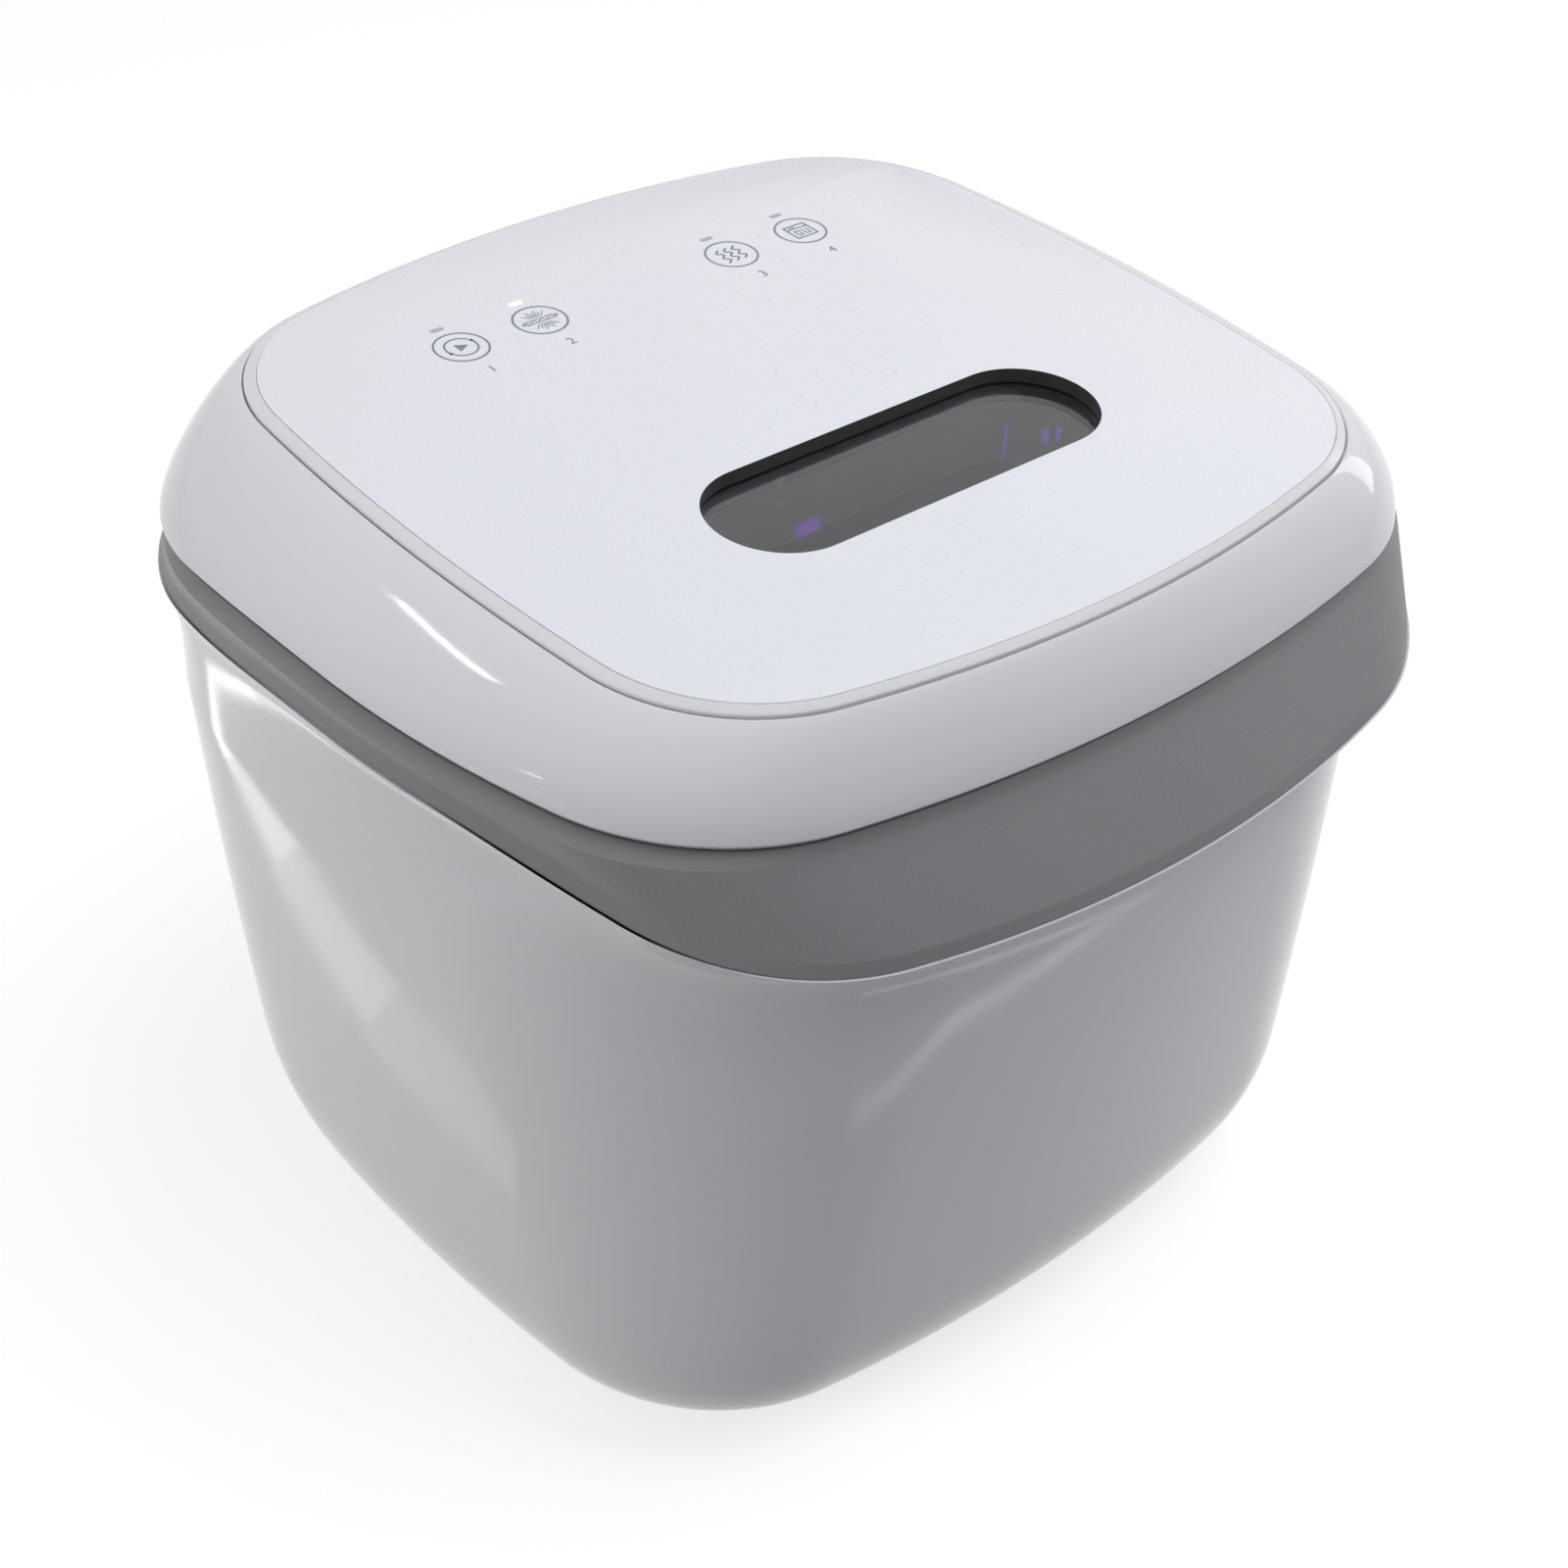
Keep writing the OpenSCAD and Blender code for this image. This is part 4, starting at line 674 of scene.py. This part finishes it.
# ---- Trim ring -----------------------------------------------------------------------
# A thin pale grey ring slopes from the panel down to a fine groove. It is moulded apart
# and snapped in round the panel's edge.
inner_edge, outer_edge = drawn_in(PANEL, -0.1), around_panel(TRIM_W)
trim = moulding("trim", rounded([
    ring(inner_edge, PANEL_Y, PANEL_LOW + 0.05), ring(outer_edge, PANEL_Y, PANEL_LOW + 0.05),
    ring(outer_edge, PANEL_Y, TOTAL - 1.6), ring(drawn_in(outer_edge, 0.3), PANEL_Y, TOTAL - 1.3),
    ring(drawn_in(inner_edge, -0.4), PANEL_Y, TOTAL - 0.1), ring(inner_edge, PANEL_Y, TOTAL - 0.4)],
    [0, 0, 0.2, 0.2, 0.25, 0]))
smoothed(trim, 40)
painted(trim, glossy_plastic("pale grey trim plastic", (0.71, 0.715, 0.735), 0.2))
stands_for(trim, "trim_ring", "lid")

# ---- Control panel -------------------------------------------------------------------
# One sheet of white acrylic, 4 mm thick, with a long window and four small lamp slots
# routed through it. The cut edge of the window is painted black.
PRINT = 0.05                       # how proud the printed ink stands
PANEL_TOP = TOTAL - PRINT
WINDOW_L, WINDOW_W, WINDOW_Y = 122.9, 40.0, -39.5
KEY_XS = (-58.85, -33.25, 33.25, 58.85)
KEY_Y, LED_Y = 68.5, 79.5
LED_L, LED_W, LED_GAP = 4.2, 1.8, 0.04
panel = moulding("panel_sheet", [
    ring(PANEL, PANEL_Y, PANEL_LOW), ring(PANEL, PANEL_Y, PANEL_TOP - 0.25),
    ring(drawn_in(PANEL, 0.08), PANEL_Y, PANEL_TOP - 0.08),
    ring(drawn_in(PANEL, 0.25), PANEL_Y, PANEL_TOP)], closed=False)


def slot_ring(length, width, z, x, y, steps):
    """A slot with round ends, lying along X."""
    angles = np.linspace(-math.pi / 2, math.pi / 2, steps)
    right = np.column_stack((np.cos(angles), np.sin(angles))) * width / 2
    right += ((length - width) / 2, 0)
    rows = np.concatenate((right, -right))
    return np.column_stack((rows + (x, y), np.full(len(rows), z)))


def slot_block(length, width, low, high, x, y, steps):
    ends = [slot_ring(length, width, z, x, y, steps) for z in (low, high)]
    return moulding("slot", ends, closed=False)


carved(panel, slot_block(WINDOW_L, WINDOW_W, PANEL_LOW - 1, TOTAL + 1, 0, WINDOW_Y, 40))
for x in KEY_XS:
    carved(panel, slot_block(LED_L + LED_GAP, LED_W + LED_GAP, PANEL_LOW - 1, TOTAL + 1,
                             x, LED_Y, 12))
smoothed(panel, 30)
panel_white = glossy_plastic("white acrylic sheet", (0.80, 0.815, 0.86), 0.28, 0.004, 0.000001,
                             (0.97, 1.04), 420.0)
black_edge = textured_plastic("black edge paint", (0.034, 0.034, 0.035), 0.35, 900.0, 0.00001)
painted(panel, panel_white, black_edge)
for face in panel.data.polygons:
    middle = face.center / mm
    flank = abs(face.normal.z) < 0.3 and abs(middle.x) < WINDOW_L / 2 + 1
    if flank and abs(middle.y - WINDOW_Y) < WINDOW_W / 2 + 1:
        face.material_index = 1
stands_for(panel, "control_panel", "lid")

# ---- Printed keys --------------------------------------------------------------------
# The four keys are grey rings and signs screen-printed on the sheet over touch pads: a
# cycle, lamp rays, rising air and a closed box. A plain digit stands in front of each.
ink = textured_plastic("grey printing ink", (0.225, 0.24, 0.275), 0.6, 2600.0, 0.000004)
INK_LOW = PANEL_TOP - 0.1
RING_R, RING_LINE = 7.4, 0.6
DIGIT_Y, DIGIT_H = KEY_Y - 15.2, 4.6


def united(parts, name):
    """These pieces joined into one."""
    whole = picked(*parts)
    if len(parts) > 1:
        bpy.ops.object.join()
    whole.name = whole.data.name = name
    return whole


def inked(name, outlines):
    """Closed flat outlines, each a list of points, as thin prints with their tops level."""
    parts = []
    for points in outlines:
        low = np.column_stack((points, np.full(len(points), INK_LOW)))
        parts.append(moulding(name, [low, low + (0, 0, TOTAL - INK_LOW)], closed=False))
    return painted(united(parts, name), ink)


def line(points, width):
    """The outline of an open pen line of this width."""
    points = np.array(points, float)
    along = np.gradient(points, axis=0)
    along /= np.linalg.norm(along, axis=1)[:, None]
    aside = np.column_stack((-along[:, 1], along[:, 0])) * width / 2
    return np.concatenate((points + aside, (points - aside)[::-1]))


def arc_line(radius, start, stop, width):
    angles = np.radians(np.linspace(start, stop, 24))
    return line(np.column_stack((np.cos(angles), np.sin(angles))) * radius, width)


def bar(x0, y0, x1, y1):
    return np.array([(x0, y0), (x1, y0), (x1, y1), (x0, y1)], float)


def arrow_head(radius, angle, size):
    a = math.radians(angle)
    tip = np.array([math.cos(a), math.sin(a)]) * radius
    forward = np.array([math.sin(a), -math.cos(a)])
    outward = np.array([math.cos(a), math.sin(a)])
    wing = outward * size * 0.62
    return np.array([tip + forward * size, tip + wing, tip - wing])


def ring_lines(radius, width):
    """A full ring as four quarter strokes that meet."""
    return [arc_line(radius, q * 90, q * 90 + 90, width) for q in range(4)]


cycle = [arc_line(4.5, 205, 30, 0.55), arc_line(4.5, 25, -150, 0.55)]
cycle += [arrow_head(4.5, 26, 1.3)[::-1], arrow_head(4.5, -154, 1.3)[::-1]]
cycle += [np.array([(-1.3, -1.9), (2.1, 0.0), (-1.3, 1.9)])]
rays = [bar(-4.3, -1.05, 4.3, -0.7), bar(-4.3, 0.7, 4.3, 1.05), bar(-4.65, -1.05, -4.3, 1.05),
        bar(4.3, -1.05, 4.65, 1.05), bar(-5.7, -0.55, -4.95, 0.55), bar(4.95, -0.55, 5.7, 0.55)]
sweep = np.linspace(-3.9, 3.9, 40)
rays.append(line(np.column_stack((sweep, 0.32 * np.sin(sweep * 2.4))), 0.28))
for angle in (48, 62, 76, 90, 104, 118, 132):
    for half_turn in (0, 180):
        a = math.radians(angle + half_turn)
        ray = np.array([math.cos(a), math.sin(a)])
        reach = (1.9 / math.sin(math.radians(angle)), 4.4 if angle % 28 == 6 else 5.2)
        rays.append(line([ray * reach[0], ray * sum(reach) / 2, ray * reach[1]], 0.3))
waves = []
for x in (-2.8, 0.0, 2.8):
    ys = np.linspace(-3.9, 3.9, 30)
    waves.append(line(np.column_stack((x + 0.75 * np.sin(ys * 2.05), ys)), 0.6))
store = [bar(-3.9, -3.7, 3.9, -3.15), bar(-3.9, 3.15, 3.9, 3.7), bar(-3.9, -3.15, -3.35, 3.15),
         bar(3.35, -3.15, 3.9, 3.15), bar(-3.35, 1.45, 3.35, 1.95), bar(-2.4, 2.35, -0.4, 2.8),
         bar(-2.3, -2.3, -0.4, -1.85), bar(-2.3, 0.1, -0.4, 0.55), bar(-2.3, -1.85, -1.85, 0.1),
         bar(-0.85, -1.85, -0.4, 0.1), bar(0.5, -2.3, 2.4, -1.85), bar(0.5, -1.85, 0.95, 0.6),
         bar(1.95, -1.85, 2.4, 0.6)]
signs = []
for x, sign in zip(KEY_XS, (cycle, rays, waves, store)):
    signs += [points + (x, KEY_Y) for points in sign]
stands_for(inked("key_signs", signs), "key_symbols", "lid")
rings_2d = [points + (x, KEY_Y) for x in KEY_XS for points in ring_lines(RING_R, RING_LINE)]
stands_for(inked("key_circles", rings_2d), "key_rings", "lid")

for number, x in enumerate(KEY_XS, 1):
    bpy.ops.object.select_all(action="DESELECT")
    bpy.ops.object.text_add(location=(x * mm, DIGIT_Y * mm, (INK_LOW + TOTAL) / 2 * mm))
    digit = bpy.context.object
    digit.data.body = str(number)
    digit.data.size = DIGIT_H * mm
    digit.data.align_x = "CENTER"
    digit.data.extrude = (TOTAL - INK_LOW) / 2 * mm
    bpy.ops.object.convert(target="MESH")
    bpy.ops.object.transform_apply(location=True, rotation=True, scale=True)
    digit.name = digit.data.name = f"key_digit_{number}"
    painted(digit, ink)
    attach(digit, "lid")

# ---- Indicator lamps -----------------------------------------------------------------
# A small light pipe of clear grey plastic fills the slot behind each key. The second
# one glows white, because the box is running.
lens_grey = glossy_plastic("smoky light pipe", (0.42, 0.44, 0.48), 0.2)
lens_lit, tree, shader, place = surface("glowing light pipe", (0.95, 0.97, 1.0), 0.2)
shader.inputs["Emission Color"].default_value = (0.95, 0.98, 1.0, 1)
shader.inputs["Emission Strength"].default_value = 1.4
embossed(tree, shader, grain(tree, place, 900.0), 0.00001)
for name, node, wanted, finish, slot in (
        ("light_pipes", "indicator_lenses", (0, 2, 3), lens_grey, "lens_grey"),
        ("light_pipe_lit", "lit_indicator", (1,), lens_lit, "lens_lit")):
    pipes = united([slot_block(LED_L, LED_W, PANEL_LOW, PANEL_TOP, KEY_XS[k], LED_Y, 12)
                    for k in wanted], name)
    smoothed(eased(pipes, 0.12))
    painted(pipes, finish)
    stands_for(pipes, node, "lid")

# ---- Window --------------------------------------------------------------------------
# A tinted pane lies under the sheet, and a grey shaft with the same round ends leads the
# eye down through the lid. Thin violet streaks, painted reflections of the lamps, glow on the
# shaft.


def dressed(node, name, bevel=0.0, degrees=32):
    """A merged copy of a CAD solid with its edges eased, which is shown in its place."""
    piece = bpy.data.objects.new(name, nodes[node].data.copy())
    piece.data.name = name
    bpy.context.scene.collection.objects.link(piece)
    picked(piece)
    bpy.ops.object.mode_set(mode="EDIT")
    bpy.ops.mesh.select_all(action="SELECT")
    bpy.ops.mesh.remove_doubles(threshold=0.000002)
    bpy.ops.mesh.dissolve_limited(angle_limit=math.radians(0.5))
    bpy.ops.object.mode_set(mode="OBJECT")
    if bevel:
        eased(piece, bevel, 40)
    smoothed(piece, degrees)
    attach(piece, nodes[node]["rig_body"])
    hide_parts(node)
    return piece


pane_glass, tree, shader, place = surface("tinted window pane", (0.62, 0.63, 0.66), 0.03, ior=1.49)
shader.inputs["Transmission Weight"].default_value = 1.0
tree.links.new(ranged(tree, grain(tree, place, 30.0, 4.0), 0.015, 0.05), shader.inputs["Roughness"])
painted(nodes["window_pane"], pane_glass)


def combined(tree, operation, first, second):
    if first is None:
        return second
    node = tree.nodes.new("ShaderNodeMath")
    node.operation = operation
    tree.links.new(first, node.inputs[0])
    tree.links.new(second, node.inputs[1])
    return node.outputs[0]


def violet_glints(tree, shader, place, boxes, strength):
    """Painted violet reflections of the lamps: thin glowing streaks inside these boxes, given in
    millimetres, which also tint the base colour violet.
    """
    total = None
    for low, high in boxes:
        low, high = Vector(low) * mm, Vector(high) * mm
        shifted = tree.nodes.new("ShaderNodeVectorMath")
        shifted.operation = "SUBTRACT"
        tree.links.new(place, shifted.inputs[0])
        shifted.inputs[1].default_value = (low + high) / 2
        folded = tree.nodes.new("ShaderNodeVectorMath")
        folded.operation = "ABSOLUTE"
        tree.links.new(shifted.outputs[0], folded.inputs[0])
        parts = tree.nodes.new("ShaderNodeSeparateXYZ")
        tree.links.new(folded.outputs[0], parts.inputs[0])
        mask = None
        for axis, half in enumerate((high - low) / 2):
            inside = ranged(tree, parts.outputs[axis], 1.0, 0.0, half * 0.75, half * 1.15)
            mask = combined(tree, "MULTIPLY", mask, inside)
        total = combined(tree, "ADD", total, mask)
    # Painted reflections: inside the boxes the shaft glows violet and its base colour turns violet.
    tree.links.new(ranged(tree, total, 0.0, strength, 0.0, 1.0), shader.inputs["Emission Strength"])
    shader.inputs["Emission Color"].default_value = (0.30, 0.06, 0.95, 1)
    blend = tree.nodes.new("ShaderNodeMix")
    blend.data_type = "RGBA"
    tree.links.new(total, blend.inputs["Factor"])
    tree.links.new(shader.inputs["Base Color"].links[0].from_socket, blend.inputs["A"])
    blend.inputs["B"].default_value = (0.11, 0.045, 0.24, 1)
    tree.links.new(blend.outputs["Result"], shader.inputs["Base Color"])


shaft_plastic, tree, shader, place = surface("satin grey shaft plastic", (0.19, 0.19, 0.195), 0.24)
smears = grain(tree, place, 70.0, 4.0)
tinted(tree, shader, ranged(tree, smears, 0.0, 1.0), (0.180, 0.180, 0.185), (0.200, 0.200, 0.206))
tree.links.new(ranged(tree, smears, 0.22, 0.28), shader.inputs["Roughness"])
embossed(tree, shader, grain(tree, place, 700.0), 0.000008)
# Boxes of the painted violet reflections on the shaft's walls, in millimetres.
painted_reflection_boxes = (
    ((-17.8, -21.0, 214.5), (-9.0, -18.0, 221.5)), ((52.9, -25.0, 219.0), (53.7, -21.5, 228.5)),
    ((59.2, -33.0, 224.5), (60.3, -30.3, 229.5)), ((60.4, -36.4, 226.5), (61.6, -34.8, 231.5)))
violet_glints(tree, shader, place, painted_reflection_boxes, 0.3)
shaft = painted(dressed("window_shaft", "shaft"), shaft_plastic)

# ---- Lid's underside -----------------------------------------------------------------
# A satin white liner closes the lid from below. It carries a soft grey seal, a violet
# lamp in two sockets behind a wire guard, the magnet and four screws.


def satin_plastic(name, colour, rough=0.32):
    return textured_plastic(name, colour, rough, 520.0, 0.000012, 0.012)


def metal(name, colour, rough, brushed=None, depth=0.000004):
    """Bare metal. brushed stretches its scratches along one direction."""
    material, tree, shader, place = surface(name, colour, rough, 1.0)
    scratches = grain(tree, place, 40.0, 6.0, brushed or (1.0, 1.0, 1.0))
    tree.links.new(ranged(tree, scratches, rough * 0.75, rough * 1.4), shader.inputs["Roughness"])
    tinted(tree, shader, ranged(tree, grain(tree, place, 12.0), 0.0, 1.0),
           [c * 0.97 for c in colour], [min(1.0, c * 1.03) for c in colour])
    embossed(tree, shader, scratches, depth)
    return material


liner_white = satin_plastic("satin white liner plastic", (0.66, 0.665, 0.67))
socket_white = satin_plastic("white ceramic-filled plastic", (0.70, 0.70, 0.69), 0.45)
seal_rubber = textured_plastic("grey silicone seal", (0.085, 0.087, 0.09), 0.62, 800.0, 0.00002)
bright_wire = metal("polished stainless wire", (0.66, 0.67, 0.685), 0.12, (6.0, 1.0, 1.0), 0.000002)
screw_metal = metal("nickel-plated screw steel", (0.55, 0.555, 0.56), 0.25)
cap_metal = metal("drawn aluminium cap", (0.66, 0.66, 0.67), 0.3, (1.0, 14.0, 14.0))
lamp_glass, tree, shader, place = surface("lamp quartz, softly lit", (0.80, 0.78, 0.92), 0.16)
glow = grain(tree, place, 22.0, 2.0, (0.2, 1.0, 1.0))
tree.links.new(ranged(tree, glow, 0.8, 1.25), shader.inputs["Emission Strength"])
shader.inputs["Emission Color"].default_value = (0.30, 0.16, 0.95, 1)
tree.links.new(ranged(tree, glow, 0.12, 0.22), shader.inputs["Roughness"])
for node, name, finish, slot, bevel in (
        ("lid_liner", "liner", liner_white, "liner_white", 0.6),
        ("lid_seal", "seal", seal_rubber, "seal_rubber", 1.2),
        ("hinge_arms", "lid_arms", liner_white, "liner_white", 0.35),
        ("lid_magnet", "magnet", cap_metal, "magnet_metal", 0.4),
        ("lid_screws", "liner_screws", screw_metal, "screw_steel", 0.25),
        ("lid_lamp_tube", "upper_lamp", lamp_glass, "lamp_glass", 0.3),
        ("lid_lamp_caps", "upper_lamp_caps", cap_metal, "cap_metal", 0.5),
        ("lid_lamp_sockets", "upper_sockets", socket_white, "socket_white", 0.4),
        ("lid_lamp_guard", "lamp_guard", bright_wire, "wire_steel", 0)):
    painted(dressed(node, name, bevel), finish)

# ---- Chamber -------------------------------------------------------------------------
# The tub is pressed from brushed stainless steel with a rolled rim. A second lamp lies in
# a trough below its floor, under a clear cover.
tub_steel = metal("brushed stainless steel", (0.60, 0.61, 0.62), 0.3, (1.0, 1.0, 30.0), 0.000006)
plate_steel = metal("zinc-plated sheet steel", (0.50, 0.505, 0.51), 0.36)
cover_glass, tree, shader, place = surface("clear quartz cover", (0.90, 0.93, 0.95), 0.03, ior=1.46)
shader.inputs["Transmission Weight"].default_value = 1.0
tree.links.new(ranged(tree, grain(tree, place, 18.0, 4.0), 0.01, 0.06), shader.inputs["Roughness"])
for node, name, finish, slot, bevel in (
        ("inner_tub", "tub", tub_steel, "tub_steel", 0.3),
        ("lamp_trough", "trough", plate_steel, "plate_steel", 0.3),
        ("lower_lamp_tube", "lower_lamp", lamp_glass, "lamp_glass", 0.3),
        ("lower_lamp_caps", "lower_lamp_ends", cap_metal, "cap_metal", 0.5),
        ("lower_lamp_sockets", "lower_sockets", socket_white, "socket_white", 0.4),
        ("lamp_cover_glass", "lamp_cover", cover_glass, "cover_glass", 0.3)):
    painted(dressed(node, name, bevel), finish)

# ---- Rack ----------------------------------------------------------------------------
# The loose rack is welded from round stainless wire, with two handles to lift it by and
# four white plastic feet pushed over the ends of its legs.
painted(dressed("wire_rack", "rack", 0, 50), bright_wire)
foot_white = satin_plastic("white foot plastic", (0.70, 0.70, 0.69), 0.4)
painted(dressed("rack_feet", "rack_tips", 0.5), foot_white)

# ---- Hinge ---------------------------------------------------------------------------
# Two steel brackets are screwed to the collar's deck. The lid's arms turn on their pins
# inside pockets in the collar, so that the hinge doesn't show while the lid is closed.
# A small black sensor stops the lamps when the lid opens.
for node, name, finish, slot, bevel in (
        ("hinge_brackets", "brackets", plate_steel, "plate_steel", 0.35),
        ("hinge_pins", "pins", screw_metal, "screw_steel", 0.4),
        ("hinge_screws", "bracket_screws", screw_metal, "screw_steel", 0.2)):
    painted(dressed(node, name, bevel), finish)
black_plastic = textured_plastic("black engineering plastic", (0.018, 0.018, 0.02), 0.45, 700.0)
painted(nodes["lid_sensor"], black_plastic)

# ---- Fan, heater and ducts -----------------------------------------------------------
# Behind the tub a square fan draws air through the filter and blows it over the fins of
# a small heater into the chamber. The ducts are plain grey plastic.
duct_grey = textured_plastic("plain grey duct plastic", (0.42, 0.43, 0.44), 0.5)
fins = metal("aluminium heater fins", (0.62, 0.62, 0.63), 0.32, (1.0, 1.0, 12.0))
foam, tree, shader, place = surface("pleated filter foam", (0.03, 0.034, 0.04), 0.9)
pleats = tree.nodes.new("ShaderNodeTexWave")
pleats.inputs["Scale"].default_value = 55.0
pleats.inputs["Distortion"].default_value = 0.6
tree.links.new(place, pleats.inputs["Vector"])
tinted(tree, shader, pleats.outputs["Fac"], (0.018, 0.02, 0.024), (0.045, 0.05, 0.058))
embossed(tree, shader, pleats.outputs["Fac"], 0.0006)
for node, name, finish, slot, bevel in (
        ("air_duct", "fan_duct", duct_grey, "duct_grey", 0.3),
        ("exhaust_duct", "outlet_duct", duct_grey, "duct_grey", 0.3),
        ("fan_frame", "fan_case", black_plastic, "black_plastic", 0.3),
        ("fan_motor", "fan_hub_motor", black_plastic, "black_plastic", 0.3),
        ("fan_impeller", "fan_blades", black_plastic, "black_plastic", 0.2)):
    painted(dressed(node, name, bevel), finish)
painted(nodes["heater"], fins)
painted(nodes["fan_screws"], screw_metal)
painted(nodes["air_filter"], foam)

# ---- Electrics -----------------------------------------------------------------------
# A power board and a lamp ballast stand on the chassis under the tub, and a touch board
# hangs under the panel. The mains inlet is black, with two round brass pins.


def circuit_board(name):
    """Green solder mask over copper tracks."""
    material, tree, shader, place = surface(name, (0.02, 0.12, 0.05), 0.35)
    tracks = tree.nodes.new("ShaderNodeTexBrick")
    tracks.inputs["Scale"].default_value = 160.0
    tracks.inputs["Mortar Size"].default_value = 0.03
    tree.links.new(place, tracks.inputs["Vector"])
    tinted(tree, shader, tracks.outputs["Fac"], (0.018, 0.11, 0.045), (0.04, 0.20, 0.08))
    embossed(tree, shader, tracks.outputs["Fac"], 0.00004)
    return material


board_green = circuit_board("green circuit board")
winding, tree, shader, place = surface("wound parts and tape", (0.42, 0.26, 0.05), 0.4)
turns = tree.nodes.new("ShaderNodeTexWave")
turns.bands_direction = "Z"
turns.inputs["Scale"].default_value = 160.0
tree.links.new(place, turns.inputs["Vector"])
tinted(tree, shader, turns.outputs["Fac"], (0.30, 0.17, 0.03), (0.50, 0.33, 0.09))
embossed(tree, shader, turns.outputs["Fac"], 0.0001)
brass = metal("plated brass", (0.72, 0.52, 0.20), 0.2)
for node, finish in (
        ("power_board", board_green), ("lamp_ballast", board_green), ("touch_board", board_green),
        ("board_components", winding), ("touch_pads", brass)):
    painted(nodes[node], finish)
painted(dressed("power_inlet", "mains_inlet", 0.4), black_plastic)
painted(dressed("inlet_pins", "mains_pins", 0.4), brass)

# ---- Base ----------------------------------------------------------------------------
# The chassis tray and the bottom cover are moulded in pale grey. Four rubber feet are
# pressed into the cover, and four screws run up into the tray's posts.
base_grey = textured_plastic("pale grey base plastic", (0.46, 0.465, 0.47), 0.5)
foot_rubber = textured_plastic("dark grey rubber", (0.03, 0.03, 0.032), 0.7, 500.0, 0.00004)
for node, name, finish, slot, bevel in (
        ("chassis", "tray", base_grey, "chassis_grey", 0.3),
        ("base_cover", "bottom_cover", base_grey, "chassis_grey", 0.5),
        ("rubber_feet", "feet", foot_rubber, "rubber_grey", 0.7),
        ("base_screws", "bottom_screws", screw_metal, "screw_steel", 0.25)):
    painted(dressed(node, name, bevel), finish)
